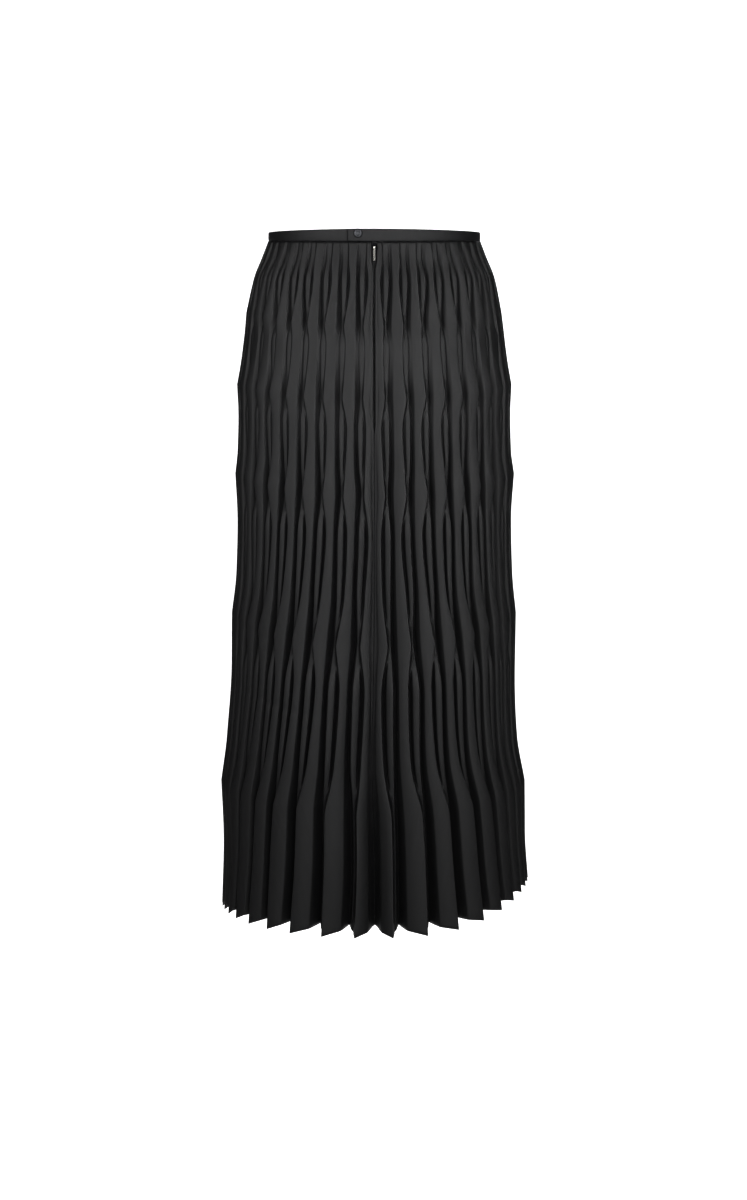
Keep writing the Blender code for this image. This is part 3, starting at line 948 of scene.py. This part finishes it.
    def columns(self, corners: Corners) -> Columns:
        """Round the folds and shape the faces.

        Args:
            corners: Corners of the folds.

        Returns:
            Columns of plan points, their levels and how pressed each is, which also sets the painted
            highlight.
        """
        place, levels = corners.place, corners.levels
        along = np.diff(place, axis=1)
        length = np.linalg.norm(along, axis=-1)
        along = along / length[..., None]
        laid = Columns()
        faces = along.shape[1]
        if self.centre_seam:
            lips = np.where(self.drops < self.zip_bottom, self.zip_lip, self.lip)
            first = lips / length[:, 0]
            start = place[:, 0] + along[:, 0] * lips[:, None]
            laid.roll(place[:, 0], start, np.array([0.0, -1.0]), lips[:, None], levels[:, 0], False)
        else:
            first = np.zeros_like(self.drops)
            laid.put(place[:, 0], levels[:, 0], 0.0)
        for face in range(faces):
            fold = FOLDS[face % len(FOLDS)]
            last = face == faces - 1
            room = np.full_like(self.drops, self.lip) if last else \
                np.minimum(fold.rounding, self.most_rounded * length[:, face])
            final = 1 - room / length[:, face]
            for share, rise in self.rises(face):
                step = first + (final - first) * share
                laid.put(corners.on_face(face, step[:, None], rise), corners.level_on(face, step), 0.0)
            corner, level = place[:, face + 1], levels[:, face + 1]
            if last:
                finish = corner - along[:, face] * room[:, None]
                laid.roll(corner, finish, np.array([-1.0, 0.0]), room[:, None], level, True)
                break
            # The rounding starts and ends on the faces' own last and first slopes
            arrive = unit(corner - laid.points[-1])
            room_after = np.minimum(fold.rounding, self.most_rounded * length[:, face + 1])
            leave = unit(corners.on_face(face + 1, *self.rises(face + 1)[0]) - corner)
            near = corner - arrive * room[:, None] * self.bend_reach
            far = corner + leave * room_after[:, None] * self.bend_reach
            turned = soft_step((level - self.polish_from) / self.polish_over) * fold.polish
            # Less polished, with less painted highlight, beside the fold; the point on it is the middle
            # of a round arc
            laid.put(near, level, turned * 0.5)
            laid.put(near * 0.25 + corner * 0.5 + far * 0.25, level, turned)
            laid.put(far, level, turned * 0.4)
            first = room_after / length[:, face + 1]
        return laid

    def rises(self, face: int) -> tuple[tuple[float, float], ...]:
        """Return the points on a face; the first one beside the zip has its own."""
        own = face == 0 and self.end is End.BACK
        return FIRST_FACE if own else FOLDS[face % len(FOLDS)].rises

    def creased(self, plan: np.ndarray) -> np.ndarray:
        """Move the plan points by the creases of this quarter; its seams stay put.

        Args:
            plan: Plan points by rows and columns.

        Returns:
            The points moved.
        """
        wide, deep = self.values("half_width", "half_depth")
        outward = unit(np.stack([plan[..., 0] / wide ** 2, plan[..., 1] / deep ** 2], axis=-1))
        move = sum(crease.offset(plan[..., 0], self.drops[:, None]) for crease in CREASES
                   if crease.side is self.side and crease.end is self.end)
        loose = soft_step(plan[..., 0] / self.loose_from) * soft_step(plan[..., 1] / self.loose_from)
        return plan + outward * (move * loose)[..., None]

    def heights(self, plan: np.ndarray, levels: np.ndarray) -> np.ndarray:
        """Work out heights: rows sag at the centre, and the hem lifts at the sides.

        Args:
            plan: Plan points by rows and columns.
            levels: Levels of the cloth there.

        Returns:
            Height of every point.
        """
        sag, deep, wide = self.values("sag", "half_depth", "half_width")
        drawn = SEAM_TUCK * (1 - soft_step((self.drops - DROPS[0]) / SEAM_TUCK_FADE))
        height = drawn[:, None] - self.drops[:, None] - sag * (plan[..., 1] / deep) ** 2
        hem = np.clip((self.drops - DROPS[-2]) / (DROPS[-1] - DROPS[-2]), 0, 1)[:, None]
        tip = HEM_RIDGE_DROP * (1 - levels)
        lift = HEM_LIFT[self.side] * np.clip(plan[..., 0] / wide, 0, 1.2) ** HEM_LIFT_POWER
        return height + hem * (tip + lift)

    def build(self) -> None:
        """Work out the outer points, flat places and press (polish and painted highlight) of the
        quarter.
        """
        laid = self.columns(self.corners())
        plan = self.creased(np.stack(laid.points, axis=1))
        height = self.heights(plan, np.stack(laid.levels, axis=1))
        shift = row_values("shift", self.drops)[:, None]
        self.points = np.stack([self.side.value * plan[..., 0] + shift,
                                self.end.value * plan[..., 1], height], axis=-1)
        run = np.linalg.norm(np.diff(plan, axis=1), axis=-1)
        across = np.concatenate([np.zeros((len(run), 1)), np.cumsum(run, axis=1)], axis=1)
        self.flat = np.stack([self.side.value * across, np.broadcast_to(height, across.shape)], -1)
        self.press = np.stack(laid.press, axis=1)


@dataclass
class ClothPanel:
    """A panel of pleated satin as a thin closed shell."""

    name: str
    node: str
    end: End
    sides: tuple[Side, ...]
    flat_size: tuple[float, float]
    flat_area: float
    spacing_top: float              # largest spacing of its fine rows near the waist
    spacing: float                  # and lower down
    shell: float = 0.0005           # thickness of the shown cloth
    quarters: list[PleatedQuarter] = field(init=False, default_factory=list)
    skin: np.ndarray = field(init=False)

    def grid(self) -> tuple[np.ndarray, np.ndarray, np.ndarray]:
        """Join the panel's quarters into one grid.

        Returns:
            Points, flat places and press (polish and painted highlight), by rows and columns.
        """
        drops = fine_drops(self.spacing_top, self.spacing)
        for side in self.sides:
            quarter = PleatedQuarter(side, self.end, drops, centre_seam=len(self.sides) == 1)
            quarter.build()
            self.quarters.append(quarter)
        first = self.quarters[0]
        if len(self.quarters) == 1:
            return first.points, first.flat, first.press
        other = self.quarters[1]
        return tuple(np.concatenate([getattr(other, part)[:, :0:-1], getattr(first, part)], axis=1)
                     for part in ("points", "flat", "press"))

    def build(self, material: bpy.types.Material) -> bpy.types.Object:
        """Build the shell and dress it.

        Args:
            material: Finish of the cloth.

        Returns:
            The panel.
        """
        outer, flat, press = self.grid()
        self.skin = outer
        normal = unit(np.cross(np.gradient(outer, axis=1), np.gradient(outer, axis=0)))
        flip = look_inward(normal, outer)
        normal = -normal if flip else normal
        points, faces = closed_shell(outer, outer - normal * self.shell, flip)
        piece = make_mesh(self.name, points, faces, material,
                          flat_place=np.tile(flat.reshape(-1, 2), (2, 1)),
                          values={"press": np.tile(press.ravel(), 2)})
        settle(piece, Body.SKIRT, "pleated_satin", self.node)
        return piece


# Sewing and zip


@dataclass
class SeamTape:
    """Pressed-open seam allowance, seen from inside as one narrow strip behind a seam."""

    name: str
    seam: Seam
    first_drop: float
    last_drop: float = 0.8872
    wing: float = 0.0050            # reach of the strip to each side
    behind: float = 0.0017          # how far inside the outer face it lies at the seam
    wing_behind: float = 0.0018     # likewise at the ends of the wings
    half_flat: float = 0.0012       # half the width of its flat middle
    thick: float = 0.0004

    def edge(self, quarter: PleatedQuarter) -> tuple[np.ndarray, np.ndarray]:
        """Return the seam corner and the cloth one wing away from it, down the rows.

        Args:
            quarter: Quarter whose edge is sewn.

        Returns:
            Places at the seam and on the cloth.
        """
        grid = quarter.points if self.seam is Seam.CENTRE else quarter.points[:, ::-1]
        corner, rest = grid[:, LIP_COLUMN], grid[:, LIP_COLUMN + 1:]
        away = np.linalg.norm((rest - corner[:, None])[..., :2], axis=-1)
        away = np.maximum.accumulate(away, axis=1)
        found = np.array([[np.interp(self.wing, away[row], rest[row, :, axis])
                           for axis in range(3)] for row in range(len(grid))])
        return corner, found

    def build(self, quarter: PleatedQuarter, material: bpy.types.Material) -> bpy.types.Object:
        """Build the strip behind one quarter's edge and its mirror image.

        Args:
            quarter: Quarter whose edge is sewn.
            material: Finish of the cloth.

        Returns:
            The strip.
        """
        corner, wing = self.edge(quarter)
        keep = (quarter.drops >= self.first_drop) & (quarter.drops <= self.last_drop)
        corner, wing = corner[keep], wing[keep]
        across, inward = self.seam.value
        centre = self.seam is Seam.CENTRE
        sign = 1.0 if centre else -float(quarter.side.value)
        near = corner.copy()
        near[:, across] = math.copysign(self.half_flat, wing[0, across])
        near[:, inward] += sign * self.behind
        middle = near.copy()
        middle[:, across] = 0.0
        wing[:, inward] += sign * self.wing_behind
        mirror = np.ones(3)
        mirror[across] = -1.0
        grid = np.stack([wing, near, middle, near * mirror, wing * mirror], axis=1)
        if centre:
            grid[..., 0] += row_values("shift", quarter.drops[keep])[:, None]
        back = grid.copy()
        back[..., inward] += sign * self.thick
        normal = np.cross(grid[0, 1] - grid[0, 0], grid[1, 0] - grid[0, 0])
        points, faces = closed_shell(grid, back, bool(normal[inward] * sign < 0))
        place = np.stack(np.broadcast_arrays(np.arange(5) * self.wing / 2, grid[:, :1, 2]), axis=-1)
        piece = make_mesh(self.name, points, faces, material,
                          flat_place=np.tile(place.reshape(-1, 2), (2, 1)))
        return settle(piece, Body.SKIRT, "pleated_satin")


@dataclass
class ConcealedZip:
    """Coil zip behind the rolled lips of the centre back: two coils on two tapes."""

    quarter: PleatedQuarter
    top: float = 0.0110             # drop of its first turn
    bottom: float = 0.2130          # drop of its last turn
    front: float = 0.0018           # how far inside the cloth's outer face the coils start
    pitch: float = 0.0015           # between turns; a real fine coil has 1.3 mm
    wire: float = 0.00030
    half_width: float = 0.00135     # of one flattened turn
    half_depth: float = 0.00040
    offset: float = 0.00122         # of each coil's middle from the centre
    steps: int = 10                 # points in a turn
    sides: int = 6                  # of the wire's section
    tape_inner: float = 0.0003      # distance of its edges from the centre
    tape_outer: float = 0.0062
    tape_thick: float = 0.0004
    tape_behind: float = 0.0001     # how far behind the coils it lies
    tape_ripple: float = 0.00012    # it lies flat but not perfectly so
    ripple_pitch: float = 0.9       # radians of a ripple from row to row
    tape_above: float = 0.002       # how far it passes the first turn
    tape_below: float = 0.008       # and the last
    tape_rows: int = 60
    tape_columns: int = 7

    def centre(self, drops: np.ndarray) -> np.ndarray:
        """Find the cloth's outer face at the centre.

        Args:
            drops: Drops to find it at.

        Returns:
            One point for each drop.
        """
        corner = self.quarter.points[:, LIP_COLUMN]
        found = np.stack([np.interp(drops, self.quarter.drops, corner[:, axis])
                          for axis in range(3)], axis=1)
        found[:, 0] = np.interp(drops, DROPS, [row.shift for row in ROWS])
        return found

    def coil(self, side: Side) -> np.ndarray:
        """Return the path of one coil's wire.

        Args:
            side: Side of the zip that it is sewn to.

        Returns:
            Points of a flattened helix.
        """
        turns = int((self.bottom - self.top) / self.pitch)
        turn = np.arange(turns * self.steps) / self.steps
        shift = 0.5 if side is Side.RIGHT else 0.0
        path = self.centre(self.top + (turn + shift) * self.pitch)
        angle = math.tau * turn
        path[:, 0] += side.value * (self.offset + self.half_width * np.cos(angle))
        path[:, 1] += self.front + self.wire + self.half_depth * (1 + np.sin(angle))
        return path

    def build(self, coil_finish: bpy.types.Material, tape_finish: bpy.types.Material) -> None:
        """Build both coils and both tapes.

        Args:
            coil_finish: Finish of the coils.
            tape_finish: Finish of the tapes.
        """
        points, faces = tubes([self.coil(side) for side in Side], self.wire, self.sides)
        piece = make_mesh("zip_coil_turns", points, faces, coil_finish)
        settle(piece, Body.SKIRT, "coil_nylon", "zip_coil")
        rows, columns = self.tape_rows, self.tape_columns
        depth = self.front + 2 * (self.wire + self.half_depth) + self.tape_behind
        path = self.centre(np.linspace(self.top - self.tape_above, self.bottom + self.tape_below, rows))
        reach = np.linspace(self.tape_inner, self.tape_outer, columns)
        for side in Side:
            front = path[:, None] + np.stack(
                [side.value * reach, np.full(columns, depth), np.zeros(columns)], -1)
            front[..., 1] += self.tape_ripple * np.sin(
                np.arange(rows)[:, None] * self.ripple_pitch + side.value)
            back = front + np.array([0.0, self.tape_thick, 0.0])
            grid, joined = closed_shell(front, back, side is Side.LEFT)
            tape = make_mesh("zip_tape_" + side.name.lower(), grid, joined, tape_finish)
            settle(tape, Body.SKIRT, "coil_nylon")


@dataclass
class StitchLine:
    """A line of lockstitches, each a short bent piece of thread that dips in at its ends."""

    name: str
    slot: str
    length: float = 0.0024
    gap: float = 0.0007             # between stitches
    radius: float = 0.00013         # of the thread
    rise: float = 0.00010           # of a stitch over the cloth
    sides: int = 5                  # of the thread's section
    bends: tuple[float, ...] = (0.0, 0.2, 0.5, 0.8, 1.0)        # shares of its length
    rises: tuple[float, ...] = (-1.6, 0.6, 1.0, 0.6, -1.6)      # of its rise, at each bend

    def stitches(self, path: np.ndarray, outward: np.ndarray) -> list[np.ndarray]:
        """Lay stitches along a path.

        Args:
            path: Points on the surface of the cloth.
            outward: Outward direction at each.

        Returns:
            Bent path of each stitch.
        """
        run = np.concatenate([[0.0], np.cumsum(np.linalg.norm(np.diff(path, axis=0), axis=1))])
        found = []
        for start in np.arange(self.gap, run[-1] - self.length, self.length + self.gap):
            at = start + self.length * np.array(self.bends)
            place, out = (np.stack([np.interp(at, run, known[:, axis]) for axis in range(3)], axis=1)
                          for known in (path, outward))
            found.append(place + out * (self.rise * np.array(self.rises))[:, None])
        return found

    def build(self, lines: Sequence[tuple[np.ndarray, np.ndarray]],
              material: bpy.types.Material) -> bpy.types.Object:
        """Join the stitches of several lines into one piece.

        Args:
            lines: Path and outward directions of each line.
            material: Finish of the thread.

        Returns:
            The stitches.
        """
        points, faces = tubes([stitch for line in lines for stitch in self.stitches(*line)],
                              self.radius, self.sides)
        piece = make_mesh(self.name, points, faces, material)
        return settle(piece, Body.SKIRT, self.slot)


def hem_line(panel: ClothPanel, above: float = 0.5) -> tuple[np.ndarray, np.ndarray]:
    """Return the path of a panel's hem stitches and the outward directions along it.

    Args:
        panel: A built panel.
        above: Share of the last fine row's height that the line lies above the hem.

    Returns:
        Points on the cloth and outward directions.
    """
    path = panel.skin[-1] * (1 - above) + panel.skin[-2] * above
    out = unit(np.cross(np.gradient(path, axis=0), panel.skin[-1] - panel.skin[-2]))
    return path, -out if look_inward(out, path) else out


# Waistband and snap


@dataclass
class Waistband:
    """Folded satin strip whose right end laps over its left end."""

    thick: float = 0.0030
    half_width: float = 0.1330      # of the ellipse that its middle line follows
    half_depth: float = 0.0905
    edge: float = 0.0010            # radius of its folded edges
    overlap_end: float = -0.0325    # x of its outer end
    underlap_end: float = 0.0050    # x of its end behind the overlap
    ramp: float = 0.0300            # length over which the overlap comes down
    sections: int = 420
    corner_steps: int = 4
    crown: float = 0.00025          # how far the folded faces stand proud in their middle
    pucker: float = 0.00012         # unevenness that the waist seam draws into it
    ripples: int = 5                # waves that add up to it
    ripple_seed: int = 5
    ripple_pitches: tuple[float, float] = (60, 260)     # range, in radians for each metre
    inner_place: float = 0.02       # where its inner face starts in the flat cloth
    pressed_from: float = 0.86      # share of its half height above which it is pressed, and painted with a lighter highlight
    pressed_rise: float = 5         # how steeply that grows toward the fold
    end_shapes: tuple[tuple[float, float], ...] = ((0.93, 0.985), (0.985, 1.0), (1.0, 1.0))

    def angle(self, x: float) -> float:
        """Angle round the band, from the centre back, of a place on its back half."""
        return math.asin(x / self.half_width)

    def frame(self, angle: float) -> tuple[Vector, Vector, float]:
        """Work out the middle line.

        Args:
            angle: Angle round the band.

        Returns:
            Its place, its outward direction and the band's height there.
        """
        place = Vector((self.half_width * math.sin(angle), -self.half_depth * math.cos(angle), 0.0))
        outward = Vector((self.half_depth * math.sin(angle), -self.half_width * math.cos(angle), 0.0))
        centred = math.cos(angle) ** 2      # 1 at the centre, 0 at the sides
        place.z = -BAND_BACK_DROP * centred
        height = BAND_SIDE_HEIGHT + (BAND_BACK_HEIGHT - BAND_SIDE_HEIGHT) * centred
        return place, outward.normalized(), height

    def lift(self, angle: float) -> float:
        """Work out how far the strip stands out to lap over its other end.

        Args:
            angle: Angle round the band.

        Returns:
            Distance outward.
        """
        start = self.angle(self.underlap_end + 2 * SEAM_GAP)
        down = float(soft_step((angle - start) / (self.ramp / self.half_width)))
        return (self.thick + SEAM_GAP) * (1.0 - down)

    def profile(self, height: float) -> list[tuple[float, float]]:
        """Return the strip's cross-section, rounded where it is folded.

        Args:
            height: Height of the strip here.

        Returns:
            Points as (outward, up), anticlockwise from the outer lower corner.
        """
        half, top = self.thick / 2, height / 2
        found = []
        for turn, out, up in ((-90, 1, -1), (0, 1, 1), (90, -1, 1), (180, -1, -1)):
            for step in range(self.corner_steps + 1):
                bend = math.radians(turn + 90 * step / self.corner_steps)
                found.append((out * (half - self.edge) + self.edge * math.cos(bend),
                              up * (top - self.edge) + self.edge * math.sin(bend)))
            if turn in (-90, 90):   # a side face follows: give it points to swell
                for share in (0.25, 0.5, 0.75):
                    found.append((out * (half + self.crown * 4 * share * (1 - share)),
                                  out * -(top - self.edge) + out * 2 * (top - self.edge) * share))
        return found

    def end_line(self, inset: float = 0.0016, rows: int = 9) -> tuple[np.ndarray, np.ndarray]:
        """Return the line of stitches down the end of the overlap.

        Args:
            inset: Distance of the line from that end.
            rows: Points on the line.

        Returns:
            Points on the strip and outward directions.
        """
        angle = self.angle(self.overlap_end + inset)
        place, outward, height = self.frame(angle)
        place += outward * (self.thick / 2 + self.crown + self.lift(angle))
        path = [place + Vector((0, 0, height * share)) for share in np.linspace(0.40, -0.40, rows)]
        return np.array([tuple(point) for point in path]), np.tile(np.array(outward), (rows, 1))

    def lower_line(self, above: float = 0.0012, count: int = 260, start_after: float = 0.003,
                   end_before: float = 0.002) -> tuple[np.ndarray, np.ndarray]:
        """Return the line of edge stitches round the foot of the band.

        Args:
            above: Height of the line over the lower edge.
            count: Points on the line.
            start_after: Distance from the end of the overlap to its start.
            end_before: Distance from its end to the end of the overlap.

        Returns:
            Points on the strip and outward directions.
        """
        path, out = [], []
        start = self.angle(self.overlap_end + start_after)
        end = math.tau + self.angle(self.overlap_end - end_before)
        for step in range(count):
            angle = start + (end - start) * step / (count - 1)
            place, outward, height = self.frame(angle)
            place += outward * (self.thick / 2 + self.lift(angle) * (angle < math.pi))
            path.append(tuple(place + Vector((0, 0, above - height / 2))))
            out.append(tuple(outward))
        return np.array(path), np.array(out)

    def build(self, material: bpy.types.Material) -> bpy.types.Object:
        """Build the strip from the end of its overlap all round to its other end.

        Args:
            material: Finish of the band.

        Returns:
            The band.
        """
        chance = random.Random(self.ripple_seed)
        ripples = [(chance.uniform(*self.ripple_pitches), chance.uniform(0, math.tau))
                   for _ in range(self.ripples)]
        start, end = self.angle(self.overlap_end), math.tau + self.angle(self.underlap_end)
        rings, flat, press = [], [], []
        run = 0.0
        last = None
        for step in range(self.sections + 1):
            angle = start + (end - start) * (step / self.sections)
            place, outward, height = self.frame(angle)
            run += (place - last).length if last is not None else 0.0
            last = place.copy()
            place += outward * self.lift(angle)
            wave = sum(math.sin(run * pitch + phase) for pitch, phase in ripples) / len(ripples)
            # The last two sections, thinner and lower, round the strip's cut ends
            near = min(step, self.sections - step, len(self.end_shapes) - 1)
            thinner, shorter = self.end_shapes[near]
            for out, up in self.profile(height):
                lower = 0.5 - up / height
                out = out * thinner + self.pucker * wave * lower * (out > 0)
                rings.append(place + outward * out + Vector((0, 0, up * shorter)))
                flat.append((run, up + self.inner_place * (out < 0)))
                # Pressed polish, and a painted highlight along the folded top and bottom edges
                press.append(min(1.0, max(0.0, abs(up) / height * 2 - self.pressed_from)
                                 * self.pressed_rise))
        size = len(self.profile(BAND_BACK_HEIGHT))
        faces = grid_faces(self.sections + 1, size, True, round_columns=True).tolist()
        faces.append(list(range(size)))
        faces.append([size * self.sections + number for number in reversed(range(size))])
        piece = make_mesh("waistband_folded", np.array(rings), faces, material,
                          flat_place=np.array(flat), values={"press": np.array(press)})
        return settle(piece, Body.SKIRT, "band_satin", "waistband")


@dataclass
class SnapCap:
    """Round press-stud cap, dished, with a rolled rim, and a dark flange round its foot that paints the
    shadow there.
    """

    band: Waistband
    x: float = -0.0195              # of its middle
    above_middle: float = 0.0022    # how far that lies above the band's
    radius: float = 0.0047
    rise: float = 0.0016            # height of its rim
    dish: float = 0.0005            # how far its middle lies under the rim
    crown: float = 0.00006          # how far the middle of the dish sinks further
    rim: float = 0.0011             # radius of the rolled rim
    rim_steps: int = 9
    draft: float = 0.00008          # how much narrower its wall is at the foot
    foot: float = 0.0001            # height of the rounding there
    foot_inset: float = 0.0003
    # The flange is a dark ring that paints the shadow round the cap's foot
    flange: float = 0.0056          # radius of the flange
    flange_gap: float = 0.0001      # between it and the cap
    flange_rise: float = 0.0003
    flange_edge: float = 0.0001     # height of its outer edge
    flange_bevel: float = 0.0002
    sides: int = 64

    def profile(self) -> list[tuple[float, float]]:
        """Outline the cap, from the middle of the dish to the foot of the rim.

        Returns:
            Distances from the axis and heights over the cloth.
        """
        inner, top = self.radius - 2 * self.rim, self.rise - self.dish
        found = [(inner * share, top - self.crown * (1 - share ** 2)) for share in (0, 0.35, 0.7, 1.0)]
        for step in range(1, self.rim_steps):
            turn = math.pi * step / self.rim_steps
            found.append((self.radius - self.rim - self.rim * math.cos(turn),
                          top + self.dish * math.sin(turn)))
        return found + [(self.radius, self.rise * 0.5), (self.radius - self.draft, self.foot),
                        (self.radius - self.foot_inset, 0.0)]

    def turned(self, profile: Sequence[tuple[float, float]]) -> np.ndarray:
        """Turn an outline about the stud's axis, on the overlap.

        Args:
            profile: Distance from the axis and height over the cloth of each of its points.

        Returns:
            Points in the frame of the scene, round by round.
        """
        angle = self.band.angle(self.x)
        place, outward, _ = self.band.frame(angle)
        place += outward * (self.band.thick / 2 + self.band.lift(angle) + SEAM_GAP / 2)
        place.z += self.above_middle
        seat = Matrix.Translation(place) @ outward.to_track_quat("Z", "Y").to_matrix().to_4x4()
        turns = [math.tau * step / self.sides for step in range(self.sides)]
        return np.array([tuple(seat @ Vector((out * math.cos(turn), out * math.sin(turn), up)))
                         for out, up in profile for turn in turns])

    def build(self, material: bpy.types.Material, dark: bpy.types.Material) -> None:
        """Seat the cap and its flange on the overlap.

        Args:
            material: Metal of the cap.
            dark: Dark metal of the flange, a painted shadow ring.
        """
        profile = self.profile()
        faces = grid_faces(len(profile), self.sides, False, round_columns=True).tolist()
        faces.append([(len(profile) - 1) * self.sides + number for number in range(self.sides)][::-1])
        cap = make_mesh("snap_cap_turned", self.turned(profile), faces, material)
        settle(cap, Body.SKIRT, "snap_metal", "snap_cap")
        inner, top = self.radius + self.flange_gap, self.flange_rise
        # Painted shadow: a dark ring round the cap's foot
        ring = [(inner, 0.0), (inner, top), (self.flange - self.flange_bevel, top),
                (self.flange, self.flange_edge), (self.flange, 0.0)]
        faces = grid_faces(len(ring), self.sides, False, round_rows=True, round_columns=True)
        foot = make_mesh("snap_shadow_ring", self.turned(ring), faces, dark)
        settle(foot, Body.SKIRT, "snap_metal")


# Studio


@dataclass(frozen=True)
class Softbox:
    """Square softbox with a honeycomb grid that narrows its light."""

    name: str
    place: tuple[float, float, float]
    aim: tuple[float, float, float]     # point that it faces
    size: float
    power: float                        # watts
    spread: float                       # degrees that the grid lets through

    def hang(self) -> None:
        """Hang the light in the scene."""
        data = bpy.data.lights.new(self.name, "AREA")
        data.shape, data.energy = "RECTANGLE", self.power
        data.size = data.size_y = self.size
        data.spread = math.radians(self.spread)
        lamp = bpy.data.objects.new(self.name, data)
        lamp.location = self.place
        facing = Vector(self.aim) - Vector(self.place)
        lamp.rotation_euler = facing.to_track_quat("-Z", "Y").to_euler()
        bpy.context.scene.collection.objects.link(lamp)


SOFTBOXES = (
    Softbox("front_box", (0.30, -2.7, -0.15), (0.05, 0.0, -0.44), 1.1, 6.3, 60),
    Softbox("upper_left_box", (-1.7, -1.9, 0.5), (-0.10, 0.0, -0.12), 0.8, 1.70, 26),
    Softbox("upper_right_box", (1.7, -1.9, 0.5), (0.10, 0.0, -0.12), 0.8, 1.50, 26),
    Softbox("rear_box", (0.4, 2.4, 2.3), (0.0, 0.0, -0.30), 1.4, 60, 80),
    Softbox("backdrop_box", (0.0, 1.6, 2.4), (0.0, 2.0, -1.0), 1.6, 4, 90),
)


@dataclass
class Studio:
    """Pale sweep, soft lights and the camera at the photograph's angle."""

    camera_place: tuple[float, float, float] = (-0.001, -2.46, -0.0793)
    camera_tilt: float = 81.03      # degrees up from straight down
    lens: float = 57.0              # millimetres, as is the sensor's width
    sensor: float = 36.0
    floor: float = -1.70
    back: float = 3.2               # y of the backdrop
    bend: float = 1.2               # radius between the floor and the backdrop
    bend_steps: int = 16
    reach: float = 4.0              # of the floor to the front and of the backdrop up
    half_width: float = 5.0
    room_light: float = 0.04
    contrast: float = 0.76          # display gamma, under 1 for the hard tones of a cut-out photo

    def sweep(self) -> bpy.types.Object:
        """Build a floor that curves up into a backdrop.

        Returns:
            The sweep.
        """
        profile = [(-self.reach, self.floor)]
        for step in range(self.bend_steps + 1):
            turn = math.pi / 2 * step / self.bend_steps
            profile.append((self.back - self.bend + self.bend * math.sin(turn),
                            self.floor + self.bend - self.bend * math.cos(turn)))
        profile.append((self.back, self.reach))
        points = np.array([[(x, y, z) for x in (-self.half_width, self.half_width)]
                           for y, z in profile])
        made = make_mesh("sweep", points, grid_faces(len(profile), 2, False), PAPER.material())
        return made

    def build(self) -> None:
        """Put up the sweep, the lights, the world and the camera."""
        self.sweep()
        for box in SOFTBOXES:
            box.hang()
        scene = bpy.context.scene
        world = bpy.data.worlds.new("studio_room")
        world.use_nodes = True
        shade = world.node_tree.nodes["Background"]
        shade.inputs["Color"].default_value = (1.0, 1.0, 1.0, 1.0)
        shade.inputs["Strength"].default_value = self.room_light
        scene.world = world
        scene.view_settings.view_transform = "Standard"
        scene.view_settings.gamma = self.contrast
        data = bpy.data.cameras.new("camera")
        data.lens, data.sensor_width = self.lens, self.sensor
        camera = bpy.data.objects.new("camera", data)
        camera.location = self.camera_place
        camera.rotation_euler = (math.radians(self.camera_tilt), 0.0, 0.0)
        scene.collection.objects.link(camera)
        scene.camera = camera


def dress_nodes(dark: bpy.types.Material) -> None:
    """Give the CAD nodes that stay their finishes.

    Args:
        dark: Metal of the slider.
    """
    finishes = {"zip_slider": dark, "pull_tab": NICKEL.material()}
    for name, finish in finishes.items():
        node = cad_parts[name]
        if not node.material_slots:
            node.data.materials.append(finish)
        for slot in node.material_slots:
            slot.material = finish
        LOG.info("%s keeps its CAD shape", name)


def main() -> None:
    """Build and dress every piece of the skirt."""
    logging.basicConfig(level=logging.INFO, format="%(name)s: %(message)s")
    Studio().build()
    satin = PLEATED_SATIN.material()
    # Largest spacings of fine rows, near the waist and lower down
    back, front = (0.0034, 0.0056), (0.0080, 0.0115)
    panels = (
        ClothPanel("back_left_cloth", "back_left_panel", End.BACK, (Side.LEFT,),
                   (0.50, 0.90), 0.30, *back),
        ClothPanel("back_right_cloth", "back_right_panel", End.BACK, (Side.RIGHT,),
                   (0.50, 0.90), 0.30, *back),
        ClothPanel("front_cloth", "front_panel", End.FRONT, (Side.LEFT, Side.RIGHT),
                   (1.00, 0.90), 0.60, *front),
    )
    for panel in panels:
        panel.build(satin)
    left, right = panels[0].quarters[0], panels[1].quarters[0]
    SeamTape("centre_back_allowance", Seam.CENTRE, first_drop=0.2260).build(right, satin)
    for quarter in (left, right):
        name = "side_allowance_" + quarter.side.name.lower()
        SeamTape(name, Seam.SIDE, first_drop=0.0120).build(quarter, satin)
    ConcealedZip(right).build(ZIP_COIL.material(), ZIP_TAPE.material())
    thread = SEWING_THREAD.material()
    StitchLine("hem_stitches", "pleated_satin").build([hem_line(panel) for panel in panels], thread)
    band = Waistband()
    band.build(BAND_SATIN.material())
    StitchLine("band_stitches", "band_satin").build([band.end_line(), band.lower_line()], thread)
    dark = BLACK_ZINC.material()
    # The same dark metal makes the slider and the painted shadow ring round the snap cap
    SnapCap(band).build(GUNMETAL.material(), dark)
    dress_nodes(dark)
    bpy.context.view_layer.update()


if __name__ == "__main__":
    main()
